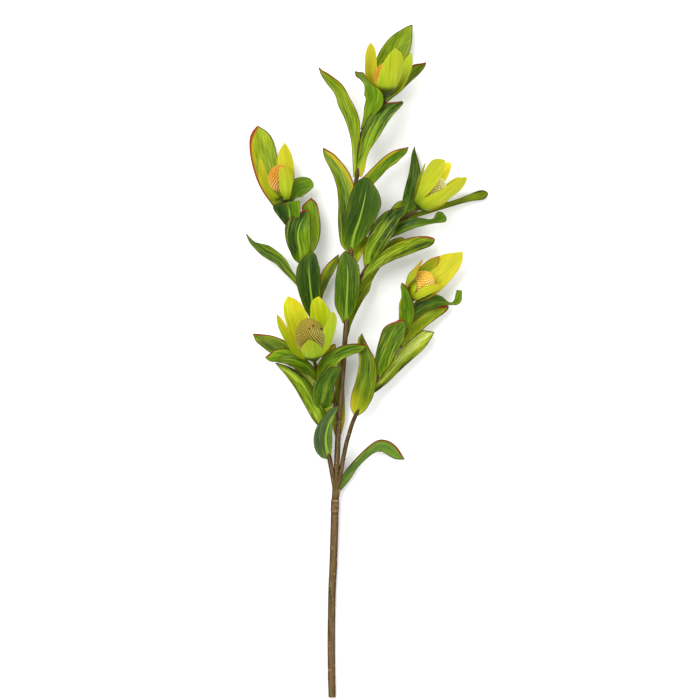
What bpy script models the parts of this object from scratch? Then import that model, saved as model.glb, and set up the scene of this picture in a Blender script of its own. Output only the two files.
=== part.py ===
"""A cut leucadendron stem with five blooms, lying on a level surface.

The woody stem runs along +Y from its cut end and forks into leafy shoots.
It rests on a flat facet under its cut end and on two low leaf tips.
Lengths are millimetres and angles are degrees until a mesh is made. Places
are measured from the cut end, and the whole part is centred on its box last.
"""
import math
from dataclasses import dataclass

import bmesh
import bpy
from mathutils import Vector

MM = 0.001
UP = Vector((0.0, 0.0, 1.0))

# Driving sizes of the stem.
STEM_SIDES = 12
TWIG_SIDES = 8
CUT_END_RADIUS = 3.4
REST_HEIGHT = CUT_END_RADIUS * math.cos(math.pi / STEM_SIDES)
RISE_START = 78.0
RISE_END = 540.0
RISE_HEIGHT = 36.0
JOINT_GAP = 0.3
STEM_STEP = 26.0
SHOOT_STEP = 17.0

# Driving sizes of the blades.
LEAF_THICKNESS = 0.8
LEAF_BASE_SHARE = 0.28
LEAF_TIP_SHARE = 0.14
BRACT_THICKNESS = 0.9
BRACT_BASE_SHARE = 0.5
BRACT_TIP_SHARE = 0.12
BRACT_SHOULDER = 0.55
BRACT_ROUNDNESS = 0.52
LEAF_STATIONS = (0.0, 0.16, 0.36, 0.58, 0.79, 0.93, 1.0)
SMALL_LEAF_STATIONS = (0.0, 0.22, 0.5, 0.76, 0.93, 1.0)
BRACT_STATIONS = (0.0, 0.18, 0.42, 0.68, 0.9, 1.0)
ACROSS = (-1.0, -0.5, 0.0, 0.5, 1.0)
SMALL_LEAF = 45.0

# Driving sizes of the blooms' receptacles and cones.
BLOOM_NECK = 13.0
RECEPTACLE_DEPTH = 6.0
RECEPTACLE_TOP = 1.4
RECEPTACLE_RADIUS = 5.6
CONE_SIDES = 18
CONE_RINGS = 10
CONE_FOOT = 0.035
CONE_CAP = 0.6
SCALE_RELIEF = 0.45


@dataclass(frozen=True)
class Leaf:
    """A leaf that grows from an axis at the height `root` along the stem."""

    root: float
    points: tuple
    width: float
    roll: float = 0.0
    cup: float = 0.16
    wave: float = 0.8
    pointed: float = 0.0
    shoulder: float = 0.55


@dataclass(frozen=True)
class Bract:
    """A bract set round its bloom: 0 faces up, 90 lies to the right."""

    around: float
    height: float
    reach: float
    width: float
    layer: float = 0.0


@dataclass(frozen=True)
class Bloom:
    """A bloom: where it sits, which way it looks, its cone and bracts."""

    base: tuple
    heading: float
    lift: float
    cone_radius: float
    cone_length: float
    bracts: tuple

    def axes(self):
        """Give the bloom's axis, its upper side and its right side."""
        turn = math.radians(self.heading)
        lift = math.radians(self.lift)
        axis = Vector((
            math.sin(turn) * math.cos(lift),
            math.cos(turn) * math.cos(lift),
            math.sin(lift),
        ))
        front = (UP - axis * UP.dot(axis)).normalized()
        return axis, front, axis.cross(front)


class Path:
    """A smooth curve through hand-placed points."""

    STEPS = 10

    def __init__(self, points):
        knots = [Vector(point) for point in points]
        knots.insert(0, knots[0] * 2 - knots[1])
        knots.append(knots[-1] * 2 - knots[-2])
        self.points = []
        for index in range(1, len(knots) - 2):
            for step in range(self.STEPS):
                self.points.append(self.blend(knots[index - 1:index + 3], step / self.STEPS))
        self.points.append(knots[-2])
        self.lengths = [0.0]
        for before, after in zip(self.points, self.points[1:]):
            self.lengths.append(self.lengths[-1] + (after - before).length)

    @staticmethod
    def blend(knots, part):
        """Give the point a part of the way between the two middle knots."""
        first, second, third, fourth = knots
        return 0.5 * (
            second * 2
            + (third - first) * part
            + (first * 2 - second * 5 + third * 4 - fourth) * part ** 2
            + (second * 3 - first - third * 3 + fourth) * part ** 3
        )

    def point(self, share):
        """Give the point at a share of the curve's length."""
        target = share * self.lengths[-1]
        for index in range(1, len(self.lengths)):
            if self.lengths[index] >= target:
                break
        span = self.lengths[index] - self.lengths[index - 1]
        part = (target - self.lengths[index - 1]) / span
        return self.points[index - 1].lerp(self.points[index], part)

    def direction(self, share):
        """Give the unit direction at a share of the curve's length."""
        low = max(0.0, share - 0.01)
        high = min(1.0, share + 0.01)
        return (self.point(high) - self.point(low)).normalized()

    def share_at(self, along):
        """Give the share of the length where the curve reaches a Y value."""
        low, high = 0.0, 1.0
        for _ in range(40):
            middle = (low + high) / 2
            if self.point(middle).y < along:
                low = middle
            else:
                high = middle
        return (low + high) / 2


def axis_height(along):
    """Give the height of the main stem's axis above the surface."""
    part = min(1.0, max(0.0, (along - RISE_START) / (RISE_END - RISE_START)))
    return REST_HEIGHT + RISE_HEIGHT * part * part * (3 - 2 * part)


def blend_table(table, along):
    """Read a value from a short table of (place, value) pairs."""
    for (place, value), (next_place, next_value) in zip(table, table[1:]):
        if along <= next_place:
            part = max(0.0, (along - place) / (next_place - place))
            return value + (next_value - value) * part
    return table[-1][1]


# The blooms, from the tip of the stem down.
BLOOM_TOP = Bloom(
    base=(52.0, 606.0, 44.0), heading=3.0, lift=14.0, cone_radius=11.5, cone_length=30.0,
    bracts=(
        Bract(28.0, 52.0, 17.0, 27.0, 1.2),
        Bract(240.0, 51.0, 18.0, 22.0, 1.2),
        Bract(116.0, 43.0, 25.0, 22.0),
        Bract(180.0, 45.0, 13.0, 20.0),
    ),
)
BLOOM_UPPER_RIGHT = Bloom(
    base=(88.6, 495.0, 29.0), heading=42.0, lift=12.0, cone_radius=9.5, cone_length=29.0,
    bracts=(
        Bract(312.0, 50.0, 22.0, 27.0, 1.2),
        Bract(50.0, 54.0, 20.0, 22.0),
        Bract(200.0, 49.0, 19.0, 20.0),
        Bract(250.0, 34.0, 23.0, 14.0, 1.2),
        Bract(128.0, 42.0, 16.0, 18.0, 1.2),
    ),
)
BLOOM_LOWER_RIGHT = Bloom(
    base=(81.0, 404.0, 29.0), heading=45.0, lift=12.0, cone_radius=12.0, cone_length=30.0,
    bracts=(
        Bract(164.0, 64.0, 16.0, 27.0),
        Bract(56.0, 30.0, 15.0, 17.0, 1.2),
        Bract(256.0, 35.0, 17.0, 20.0, 1.2),
        Bract(214.0, 46.0, 17.0, 20.0),
    ),
)
BLOOM_LOWER_LEFT = Bloom(
    base=(-18.0, 343.0, 39.0), heading=-8.0, lift=40.0, cone_radius=15.0, cone_length=43.0,
    bracts=(
        Bract(214.0, 61.0, 31.0, 25.0),
        Bract(152.0, 55.0, 29.0, 24.0),
        Bract(103.0, 54.0, 24.0, 26.0, 1.2),
        Bract(250.0, 49.0, 33.0, 15.0, 1.2),
        Bract(355.0, 38.0, 17.0, 23.0, 1.2),
    ),
)
BLOOM_UPPER_LEFT = Bloom(
    base=(-48.0, 502.0, 33.0), heading=-6.0, lift=12.0, cone_radius=12.0, cone_length=28.0,
    bracts=(
        Bract(166.0, 52.0, 19.0, 23.0),
        Bract(54.0, 31.0, 14.0, 15.0, 1.2),
        Bract(240.0, 40.0, 22.0, 15.0, 1.2),
    ),
)


def axis_path(points, bloom=None):
    """Give a shoot's path, which ends square to the bloom it carries."""
    if bloom is None:
        return Path(points)
    end = Vector(bloom.base)
    axis = bloom.axes()[0]
    return Path(list(points) + [end - axis * BLOOM_NECK, end - axis * BLOOM_NECK / 2, end])


def main_points(rows):
    """Give the main stem's points from (x, y) pairs, at the axis's height."""
    return [(x, y, axis_height(y)) for x, y in rows]


MAIN_RUN = (
    (0.0, 0.0), (-0.6, 26.0), (-0.9, 52.0), (-0.7, RISE_START), (0.0, 110.0), (1.0, 130.0),
    (2.5, 170.0), (3.0, 190.0), (3.7, 210.0), (5.0, 240.0), (6.0, 265.0), (7.5, 290.0),
    (10.5, 325.0),
    (13.0, 360.0), (16.0, 400.0), (18.5, 440.0), (20.0, 480.0), (22.0, 505.0),
    (26.0, 530.0), (28.0, 555.0), (35.0, 578.0),
)
MAIN_PATH = axis_path(main_points(MAIN_RUN), BLOOM_TOP)
LOWER_LEFT_PATH = axis_path(
    ((3.4, 207.0, 11.0), (-0.5, 230.0, 15.0), (-4.0, 250.0, 18.0), (-7.5, 275.0, 21.5),
     (-12.0, 300.0, 24.5), (-15.5, 319.0, 26.5)),
    BLOOM_LOWER_LEFT,
)
LOWER_RIGHT_PATH = axis_path(
    ((4.5, 211.0, 11.5), (8.5, 226.0, 13.5), (12.0, 245.0, 16.0), (16.0, 262.0, 18.5),
     (24.5, 286.0, 21.0), (46.0, 323.0, 24.5), (68.0, 355.0, 26.0), (74.5, 383.0, 27.0)),
    BLOOM_LOWER_RIGHT,
)
UPPER_LEFT_PATH = axis_path(
    ((7.5, 279.0, 19.4), (3.0, 296.0, 18.5), (-1.0, 315.0, 18.0), (-8.0, 345.0, 18.0),
     (-16.0, 375.0, 19.0), (-26.0, 408.0, 22.0), (-31.0, 438.0, 25.0),
     (-41.0, 478.0, 29.5)),
    BLOOM_UPPER_LEFT,
)
UPPER_RIGHT_PATH = axis_path(
    ((15.0, 388.0, 31.5), (22.0, 403.0, 31.0), (30.0, 425.0, 29.5), (52.0, 458.0, 27.5),
     (74.0, 484.0, 27.0)),
    BLOOM_UPPER_RIGHT,
)

# Radii along the axes, as (y, radius) pairs. The swelling at the fork is the
# old joint from which the three branches grow.
MAIN_RADII = (
    (0.0, CUT_END_RADIUS), (RISE_START, CUT_END_RADIUS), (150.0, 3.3), (185.0, 3.1),
    (188.5, 3.8), (198.5, 3.7), (202.0, 3.1), (225.0, 2.7), (400.0, 2.4), (540.0, 2.0),
    (606.0, 2.1),
)
LOWER_LEFT_RADII = ((207.0, 2.1), (340.0, 1.9))
LOWER_RIGHT_RADII = ((211.0, 1.9), (400.0, 1.8))
UPPER_LEFT_RADII = ((279.0, 2.0), (500.0, 1.8))
UPPER_RIGHT_RADII = ((388.0, 2.0), (490.0, 1.8))

# The heights along the stem where the bare wood gives way to leafy shoots.
TOP_SHOOT_START = 352.0
LOWER_LEFT_START = 236.0
LOWER_RIGHT_START = 279.0
UPPER_LEFT_START = 366.0
UPPER_RIGHT_START = 405.0

TOP_LEAVES = (
    Leaf(588.0, ((44.0, 606.0, 22.0), (58.0, 637.0, 13.0), (70.0, 662.0, 10.0),
                 (79.4, 675.7, 9.0)), 24.0, 4.0),
    Leaf(582.0, ((52.0, 598.0, 29.0), (68.0, 611.5, 22.0), (81.0, 628.0, 20.0),
                 (94.4, 638.5, 23.0)), 15.0, -45.0, pointed=0.6),
    Leaf(570.0, ((37.0, 589.0, 51.0), (42.5, 602.0, 59.5), (38.0, 615.5, 63.0),
                 (23.5, 627.0, 60.0)), 14.0, 10.0, 0.1),
    Leaf(524.0, ((31.0, 542.0, 44.0), (41.0, 568.0, 50.0), (53.5, 588.0, 52.0),
                 (70.0, 598.0, 51.0)), 22.0, 8.0, 0.1, pointed=0.7),
    Leaf(523.0, ((23.5, 550.0, 37.0), (20.0, 581.0, 35.0), (9.0, 609.0, 31.0),
                 (-2.0, 622.0, 28.0), (-13.3, 633.5, 25.0)), 19.0, 40.0, 0.2, pointed=0.8),
    Leaf(447.0, ((15.5, 475.0, 31.0), (15.0, 500.0, 29.0), (10.0, 521.0, 27.0),
                 (2.5, 536.0, 25.0), (-8.3, 552.0, 22.0)), 19.0, 6.0, pointed=0.7),
    Leaf(508.0, ((37.5, 520.5, 40.0), (50.0, 536.0, 41.0), (62.0, 546.0, 41.0),
                 (76.3, 552.7, 39.0)), 15.0, -38.0, 0.2, pointed=0.5),
    Leaf(448.0, ((22.0, 464.4, 43.0), (28.0, 482.0, 48.0), (33.0, 503.0, 50.0),
                 (35.0, 521.7, 48.0)), 32.0, -4.0, 0.1, shoulder=0.62),
    Leaf(428.0, ((22.0, 440.0, 31.0), (28.0, 452.0, 27.0), (37.0, 468.0, 24.0)), 13.0, 10.0),
    Leaf(377.0, ((14.5, 395.0, 39.0), (15.5, 413.0, 44.0), (15.5, 432.0, 45.0),
                 (13.0, 448.6, 43.0)), 25.5, 0.0, 0.1, shoulder=0.5),
    Leaf(359.0, ((16.0, 382.0, 23.0), (23.0, 401.0, 20.0), (32.0, 417.0, 18.0),
                 (49.0, 435.0, 16.0)), 16.0, 5.0, pointed=0.8, shoulder=0.45),
)
UPPER_RIGHT_LEAVES = (
    Leaf(477.0, ((76.5, 498.0, 18.0), (81.0, 517.0, 10.0), (84.0, 535.0, 8.0),
                 (84.0, 553.5, 9.0)), 13.0, 8.0, 0.2, pointed=0.8),
    Leaf(478.0, ((86.0, 485.0, 20.0), (103.0, 490.5, 16.0), (120.0, 496.5, 12.5),
                 (137.0, 502.5, 8.0), (155.5, 507.5, 0.93)), 14.0, 50.0, 0.14),
    Leaf(462.0, ((78.0, 473.5, 32.0), (92.0, 476.5, 33.0), (104.0, 479.0, 30.0),
                 (113.0, 484.0, 23.0)), 13.0, 34.0),
    Leaf(433.0, ((39.0, 450.0, 34.5), (48.0, 464.0, 39.0), (59.0, 479.0, 41.0),
                 (72.4, 493.4, 39.0)), 24.0, 6.0, 0.1, pointed=0.3),
    Leaf(416.0, ((40.5, 432.0, 30.0), (56.5, 444.5, 31.0), (74.0, 453.5, 31.0),
                 (90.0, 459.0, 29.0), (103.0, 461.0, 27.0)), 18.0, -10.0),
    Leaf(468.0, ((61.0, 481.0, 22.0), (62.5, 491.0, 19.0), (67.0, 500.0, 18.0)), 12.0),
    Leaf(444.0, ((57.0, 455.0, 24.0), (65.0, 461.0, 22.0), (74.0, 467.0, 21.0)), 10.0),
)
LOWER_RIGHT_LEAVES = (
    Leaf(361.0, ((77.5, 382.0, 33.0), (77.0, 395.0, 39.0), (74.0, 407.0, 44.0),
                 (69.7, 417.0, 44.0)), 14.0, 30.0, 0.1, pointed=0.4),
    Leaf(362.0, ((71.0, 382.0, 24.0), (69.0, 395.0, 22.0), (71.0, 405.0, 21.0)), 11.0),
    Leaf(376.0, ((87.0, 389.5, 22.0), (98.0, 395.5, 19.5), (109.0, 398.5, 18.0),
                 (119.0, 396.5, 18.0), (126.5, 400.5, 19.0), (128.0, 410.0, 21.0)),
         13.0, -10.0),
    Leaf(352.0, ((84.0, 373.0, 20.0), (98.0, 385.0, 16.0), (117.0, 394.0, 13.0)), 15.0, 10.0),
    Leaf(321.0, ((48.5, 340.0, 33.0), (55.5, 357.0, 37.0), (62.0, 369.0, 37.0),
                 (71.5, 380.0, 35.0)), 23.0, 0.0, 0.1, pointed=0.2),
    Leaf(308.0, ((53.0, 322.0, 21.0), (68.5, 339.0, 20.0), (84.5, 356.0, 18.0),
                 (102.5, 368.0, 16.0)), 20.0, -6.0, 0.14, pointed=0.4, shoulder=0.5),
    Leaf(285.0, ((27.5, 299.0, 26.0), (33.0, 317.0, 30.0), (35.5, 336.0, 31.0),
                 (33.5, 352.0, 29.0), (30.0, 366.7, 25.0)), 21.0, -6.0, 0.2, 1.4,
         pointed=0.6, shoulder=0.42),
)
LOWER_LEFT_LEAVES = (
    Leaf(326.0, ((-38.0, 341.5, 26.0), (-51.0, 351.0, 25.0), (-64.0, 358.5, 23.0),
                 (-79.0, 366.0, 21.0)), 17.0, pointed=0.3),
    Leaf(324.0, ((-40.0, 341.0, 32.0), (-54.0, 345.0, 32.0), (-67.0, 342.5, 29.0)),
         13.0, 10.0, pointed=0.3),
    Leaf(319.0, ((-24.0, 333.0, 37.0), (-35.0, 338.5, 39.0), (-46.0, 340.5, 37.0),
                 (-56.0, 339.0, 33.0)), 11.0, -30.0),
    Leaf(317.0, ((-8.0, 333.0, 35.0), (5.0, 345.0, 38.0), (18.0, 350.5, 38.0),
                 (34.0, 353.0, 35.0)), 14.0, -8.0, pointed=0.3),
    Leaf(323.0, ((-6.0, 341.0, 29.0), (3.0, 356.0, 28.0)), 9.0),
    Leaf(282.0, ((-19.0, 300.0, 29.0), (-31.0, 317.0, 31.0), (-43.0, 329.0, 30.0),
                 (-56.5, 337.0, 26.0)), 17.0, 8.0, 0.24, shoulder=0.45),
    Leaf(286.0, ((-20.0, 308.0, 24.0), (-28.0, 326.0, 23.0), (-36.0, 342.0, 21.0)), 17.0),
    Leaf(288.0, ((-9.5, 302.0, 35.0), (-6.0, 315.0, 39.0), (0.0, 325.0, 41.0),
                 (9.0, 333.0, 41.0)), 21.0, -6.0, 0.1, pointed=0.3),
    Leaf(241.0, ((-9.0, 255.0, 24.0), (-8.5, 269.0, 29.0), (-2.5, 284.0, 31.0),
                 (5.0, 293.0, 30.0)), 18.0, 0.0, 0.12, pointed=0.5, shoulder=0.42),
    Leaf(281.0, ((-4.0, 297.0, 28.0), (0.0, 314.0, 29.0)), 9.0),
)
UPPER_LEFT_LEAVES = (
    Leaf(472.0, ((-53.0, 495.0, 19.0), (-61.5, 517.0, 12.0), (-68.5, 540.0, 7.0),
                 (-72.0, 560.0, 3.5), (-74.5, 574.7, 0.4)), 26.0, -4.0, 0.12),
    Leaf(481.0, ((-34.0, 497.0, 25.0), (-27.5, 508.0, 25.0), (-23.5, 513.5, 26.0),
                 (-18.0, 518.5, 27.0)), 16.0, 0.0, 0.1),
    Leaf(478.0, ((-48.0, 488.0, 38.0), (-57.0, 497.0, 41.0)), 12.0, 20.0),
    Leaf(476.0, ((-38.5, 487.0, 36.0), (-35.5, 496.0, 40.5)), 12.0, -10.0),
    Leaf(437.0, ((-32.0, 450.0, 33.0), (-34.0, 463.0, 37.0), (-32.0, 475.0, 38.0),
                 (-25.0, 488.0, 35.0)), 26.0, 0.0, 0.1, pointed=0.2, shoulder=0.48),
    Leaf(440.0, ((-20.0, 457.0, 24.0), (-18.5, 475.0, 22.0), (-19.0, 490.0, 21.0),
                 (-21.0, 502.0, 21.0)), 17.0, pointed=0.3),
    Leaf(374.0, ((-19.5, 395.0, 25.0), (-22.0, 415.0, 30.0), (-23.0, 432.0, 33.0),
                 (-21.0, 447.3, 33.0)), 25.0, 0.0, 0.1, shoulder=0.5),
    Leaf(407.0, ((-42.0, 427.0, 23.0), (-54.0, 441.0, 21.0), (-70.0, 450.0, 17.0),
                 (-85.5, 466.0, 12.0)), 14.0, 10.0, 0.2, pointed=0.5),
    Leaf(376.0, ((-12.0, 398.0, 18.0), (-9.0, 416.0, 18.0), (-3.5, 430.0, 19.0),
                 (6.6, 446.0, 19.0)), 13.0, -6.0, pointed=0.6),
)

# The two leaves that stand alone on the bare stem, and where each is rooted.
FORK_LEAF_ROOT = (8.2, 210.2, 8.6)
BACK_LEAF_ROOT = (5.8, 264.0, 12.6)
SINGLE_LEAF_FOOT = 2.4
FORK_LEAF = Leaf(210.5, ((13.4, 220.0, 7.6), (23.5, 235.0, 9.6), (36.0, 248.5, 12.5),
                         (49.0, 256.5, 12.5), (61.0, 251.0, 10.0), (72.3, 241.0, 6.5)),
                 15.0, -24.0, pointed=0.2, shoulder=0.7)
BACK_LEAF = Leaf(264.0, ((6.5, 288.0, 10.4), (8.0, 308.0, 10.0), (9.0, 330.0, 11.0),
                         (11.0, 350.0, 13.0)), 13.0, shoulder=0.4)


def remove_scene_objects():
    """Empty the scene."""
    for old in list(bpy.data.objects):
        bpy.data.objects.remove(old, do_unlink=True)


def make_material(name, colour, roughness):
    """Make a plain non-metal material of one colour."""
    material = bpy.data.materials.new(name)
    material.use_nodes = True
    shader = material.node_tree.nodes["Principled BSDF"]
    shader.inputs["Base Color"].default_value = (*colour, 1.0)
    shader.inputs["Roughness"].default_value = roughness
    shader.inputs["Metallic"].default_value = 0.0
    return material


def make_object(name, points, faces):
    """Make an object from millimetre points, with its faces turned outward."""
    mesh = bpy.data.meshes.new(name)
    mesh.from_pydata([tuple(Vector(point) * MM) for point in points], [], faces)
    solid = bmesh.new()
    solid.from_mesh(mesh)
    bmesh.ops.recalc_face_normals(solid, faces=solid.faces)
    solid.to_mesh(mesh)
    solid.free()
    made = bpy.data.objects.new(name, mesh)
    bpy.context.scene.collection.objects.link(made)
    return made


def closed_sheet(name, upper, lower):
    """Close two matching grids of points into one thin blade.

    Both faces are split along the same diagonals, so a waved blade keeps its
    thickness everywhere.
    """
    rows = len(upper)
    columns = len(upper[0])
    count = rows * columns
    points = [point for row in upper for point in row]
    points += [point for row in lower for point in row]
    faces = []
    for row in range(rows - 1):
        for column in range(columns - 1):
            here = row * columns + column
            ahead = here + columns
            faces.append((here, here + 1, ahead + 1))
            faces.append((here, ahead + 1, ahead))
            faces.append((count + here, count + ahead + 1, count + here + 1))
            faces.append((count + here, count + ahead, count + ahead + 1))
    rim = [row * columns for row in range(rows)]
    rim += [(rows - 1) * columns + column for column in range(1, columns)]
    rim += [row * columns + columns - 1 for row in range(rows - 2, -1, -1)]
    rim += [column for column in range(columns - 2, 0, -1)]
    for here, after in zip(rim, rim[1:] + rim[:1]):
        faces.append((here, after, count + after))
        faces.append((here, count + after, count + here))
    return make_object(name, points, faces)


def swept_tube(name, rings, sides):
    """Close rings of (centre, direction, radius) into one tube.

    The tube's lowest facet stays level across, so a run laid on the surface
    rests on a flat strip.
    """
    points = []
    for centre, direction, radius in rings:
        right = direction.cross(UP).normalized()
        top = right.cross(direction)
        for side in range(sides):
            angle = 2 * math.pi * (side + 0.5) / sides - math.pi / 2
            points.append(centre + (right * math.cos(angle) + top * math.sin(angle)) * radius)
    faces = []
    for ring in range(len(rings) - 1):
        for side in range(sides):
            here = ring * sides + side
            beside = ring * sides + (side + 1) % sides
            faces.append((here, beside, beside + sides, here + sides))
    last = (len(rings) - 1) * sides
    faces.append(tuple(range(sides - 1, -1, -1)))
    faces.append(tuple(range(last, last + sides)))
    return make_object(name, points, faces)


def stretch_of_axis(name, path, radii, start, end, step, sides, extra=()):
    """Make the tube along a path between two heights on the stem."""
    places = [start]
    while places[-1] + step * 1.5 < end:
        places.append(places[-1] + step)
    places.append(end)
    places = sorted(set(places) | set(extra))
    rings = []
    for place in places:
        share = path.share_at(place)
        rings.append((path.point(share), path.direction(share), blend_table(radii, place)))
    return swept_tube(name, rings, sides)


def leaf_outline(leaf, share):
    """Give a leaf's half width, as a share of its greatest, along its length."""
    if share < leaf.shoulder:
        swell = math.sin(math.pi / 2 * share / leaf.shoulder)
        return LEAF_BASE_SHARE + (1 - LEAF_BASE_SHARE) * swell
    part = (share - leaf.shoulder) / (1 - leaf.shoulder)
    taper = (1 - part ** 2) ** (0.5 + 0.5 * leaf.pointed)
    return LEAF_TIP_SHARE + (1 - LEAF_TIP_SHARE) * taper


def leaf_blade(name, leaf, root_point, root_radius):
    """Make a leaf whose root is sunk into the axis that it grows from."""
    path = Path([root_point] + list(leaf.points))
    small = path.lengths[-1] < SMALL_LEAF
    stations = SMALL_LEAF_STATIONS if small else LEAF_STATIONS
    roll = math.radians(leaf.roll)
    half = leaf.width / 2
    upper, lower = [], []
    for number, share in enumerate(stations):
        centre = path.point(share)
        ahead = path.direction(share)
        right = ahead.cross(UP).normalized()
        top = right.cross(ahead)
        side = right * math.cos(roll) + top * math.sin(roll)
        face = top * math.cos(roll) - right * math.sin(roll)
        reach = half * leaf_outline(leaf, share)
        if share == 0.0:
            reach = min(reach, root_radius * 0.8)
        ripple = leaf.wave * (-1) ** number * leaf_outline(leaf, share)
        high, low = [], []
        for across in ACROSS:
            rise = leaf.cup * reach * across ** 2 + ripple * across ** 3
            middle = centre + side * (reach * across) + face * rise
            high.append(middle + face * (LEAF_THICKNESS / 2))
            low.append(middle - face * (LEAF_THICKNESS / 2))
        upper.append(high)
        lower.append(low)
    return closed_sheet(name, upper, lower)


def bract_outline(share):
    """Give a bract's half width, as a share of its greatest, along its length."""
    if share < BRACT_SHOULDER:
        swell = math.sin(math.pi / 2 * share / BRACT_SHOULDER)
        return BRACT_BASE_SHARE + (1 - BRACT_BASE_SHARE) * swell
    part = (share - BRACT_SHOULDER) / (1 - BRACT_SHOULDER)
    return BRACT_TIP_SHARE + (1 - BRACT_TIP_SHARE) * (1 - part ** 2) ** BRACT_ROUNDNESS


def bract_line(bloom, bract, share):
    """Give a bract's distance from the bloom's axis and its height.

    The line swells round the cone and then leans out to the bract's tip.
    """
    radius = bloom.cone_radius
    knots = (
        (4.2 + bract.layer * 0.2, -1.6),
        (radius + 7.0 + bract.layer, -0.5),
        (radius * 0.45 + bract.reach * 0.55 + 5.0 + bract.layer, bract.height * 0.52),
        (bract.reach + bract.layer * 0.5, bract.height),
    )
    rest = 1 - share
    weights = (rest ** 3, 3 * rest ** 2 * share, 3 * rest * share ** 2, share ** 3)
    outward = sum(weight * knot[0] for weight, knot in zip(weights, knots))
    height = sum(weight * knot[1] for weight, knot in zip(weights, knots))
    return outward, height


def bract_blade(name, bloom, bract):
    """Make a bract that wraps round the cone and opens towards its tip."""
    axis, front, right = bloom.axes()
    turn = math.radians(bract.around)
    outward = front * math.cos(turn) + right * math.sin(turn)
    sideways = right * math.cos(turn) - front * math.sin(turn)
    base = Vector(bloom.base)
    upper, lower = [], []
    for share in BRACT_STATIONS:
        distance, height = bract_line(bloom, bract, share)
        bend = distance * (1.0 + 0.9 * share)
        reach = bract.width / 2 * bract_outline(share)
        inner, outer = [], []
        for across in ACROSS:
            angle = reach * across / bend
            sweep = bend * math.sin(angle)
            depth = distance - bend * (1 - math.cos(angle))
            normal = outward * math.cos(angle) + sideways * math.sin(angle)
            middle = base + axis * height + outward * depth + sideways * sweep
            inner.append(middle - normal * (BRACT_THICKNESS / 2))
            outer.append(middle + normal * (BRACT_THICKNESS / 2))
        upper.append(inner)
        lower.append(outer)
    return closed_sheet(name, upper, lower)


def receptacle(name, bloom, radius):
    """Make the small cup that holds a bloom's bracts on the end of its shoot."""
    axis = bloom.axes()[0]
    base = Vector(bloom.base)
    foot = JOINT_GAP - RECEPTACLE_DEPTH
    rings = (
        (base + axis * foot, axis, radius),
        (base + axis * (foot * 0.45), axis, RECEPTACLE_RADIUS * 0.85),
        (base + axis * (RECEPTACLE_TOP * 0.2), axis, RECEPTACLE_RADIUS),
        (base + axis * RECEPTACLE_TOP, axis, RECEPTACLE_RADIUS * 0.8),
    )
    return swept_tube(name, rings, TWIG_SIDES)


def cone_radius_at(bloom, share):
    """Give the cone's plain radius at a share of its height."""
    return bloom.cone_radius * math.sqrt(4 * share * (1 - share)) * (1.06 - 0.12 * share)


def seed_cone(name, bloom):
    """Make the cone, with its scales raised in two crossing spirals."""
    axis, front, right = bloom.axes()
    base = Vector(bloom.base) + axis * (RECEPTACLE_TOP + JOINT_GAP)
    points = []
    for ring in range(CONE_RINGS):
        climb = (1 - math.cos(math.pi * ring / (CONE_RINGS - 1))) / 2
        share = CONE_FOOT + (1 - 2 * CONE_FOOT) * climb
        for side in range(CONE_SIDES):
            angle = 2 * math.pi * side / CONE_SIDES
            relief = SCALE_RELIEF * (-1) ** (ring + side)
            if ring == 0:
                relief = 0.0
            radius = cone_radius_at(bloom, share) + relief
            spoke = front * math.cos(angle) + right * math.sin(angle)
            lift = bloom.cone_length * (share - CONE_FOOT)
            points.append(base + axis * lift + spoke * radius)
    faces = []
    for ring in range(CONE_RINGS - 1):
        for side in range(CONE_SIDES):
            here = ring * CONE_SIDES + side
            beside = ring * CONE_SIDES + (side + 1) % CONE_SIDES
            if (ring + side) % 2:
                faces.append((here, beside, beside + CONE_SIDES))
                faces.append((here, beside + CONE_SIDES, here + CONE_SIDES))
            else:
                faces.append((here, beside, here + CONE_SIDES))
                faces.append((beside, beside + CONE_SIDES, here + CONE_SIDES))
    last = (CONE_RINGS - 1) * CONE_SIDES
    peak = len(points)
    points.append(base + axis * (bloom.cone_length * (1 - 2 * CONE_FOOT) + CONE_CAP))
    faces.append(tuple(range(CONE_SIDES - 1, -1, -1)))
    for side in range(CONE_SIDES):
        faces.append((last + side, last + (side + 1) % CONE_SIDES, peak))
    return make_object(name, points, faces)


def largest_shell(mesh):
    """Keep only the mesh's largest connected shell, and drop loose scraps."""
    solid = bmesh.new()
    solid.from_mesh(mesh)
    left = set(solid.verts)
    shells = []
    while left:
        shell, queue = set(), [next(iter(left))]
        while queue:
            point = queue.pop()
            if point in shell:
                continue
            shell.add(point)
            queue += [edge.other_vert(point) for edge in point.link_edges]
        shells.append(shell)
        left -= shell
    shells.sort(key=len)
    for shell in shells[:-1]:
        bmesh.ops.delete(solid, geom=list(shell), context="VERTS")
    solid.to_mesh(mesh)
    solid.free()


def fuse(name, pieces):
    """Join overlapping pieces into one solid."""
    body, *others = pieces
    group = bpy.data.collections.new(name + "_pieces")
    for other in others:
        group.objects.link(other)
    union = body.modifiers.new("union", "BOOLEAN")
    union.operation = "UNION"
    union.operand_type = "COLLECTION"
    union.collection = group
    union.solver = "EXACT"
    evaluated = body.evaluated_get(bpy.context.evaluated_depsgraph_get())
    mesh = bpy.data.meshes.new_from_object(evaluated)
    body.modifiers.clear()
    body.data = mesh
    body.name = name
    mesh.name = name
    for other in others:
        bpy.data.objects.remove(other, do_unlink=True)
    bpy.data.collections.remove(group)
    largest_shell(mesh)
    return body


def dress(thing, material, smooth_angle):
    """Give a finished solid its material and its smooth faces."""
    thing.data.materials.clear()
    thing.data.materials.append(material)
    thing.data.shade_smooth()
    thing.data.set_sharp_from_angle(angle=math.radians(smooth_angle))


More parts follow.
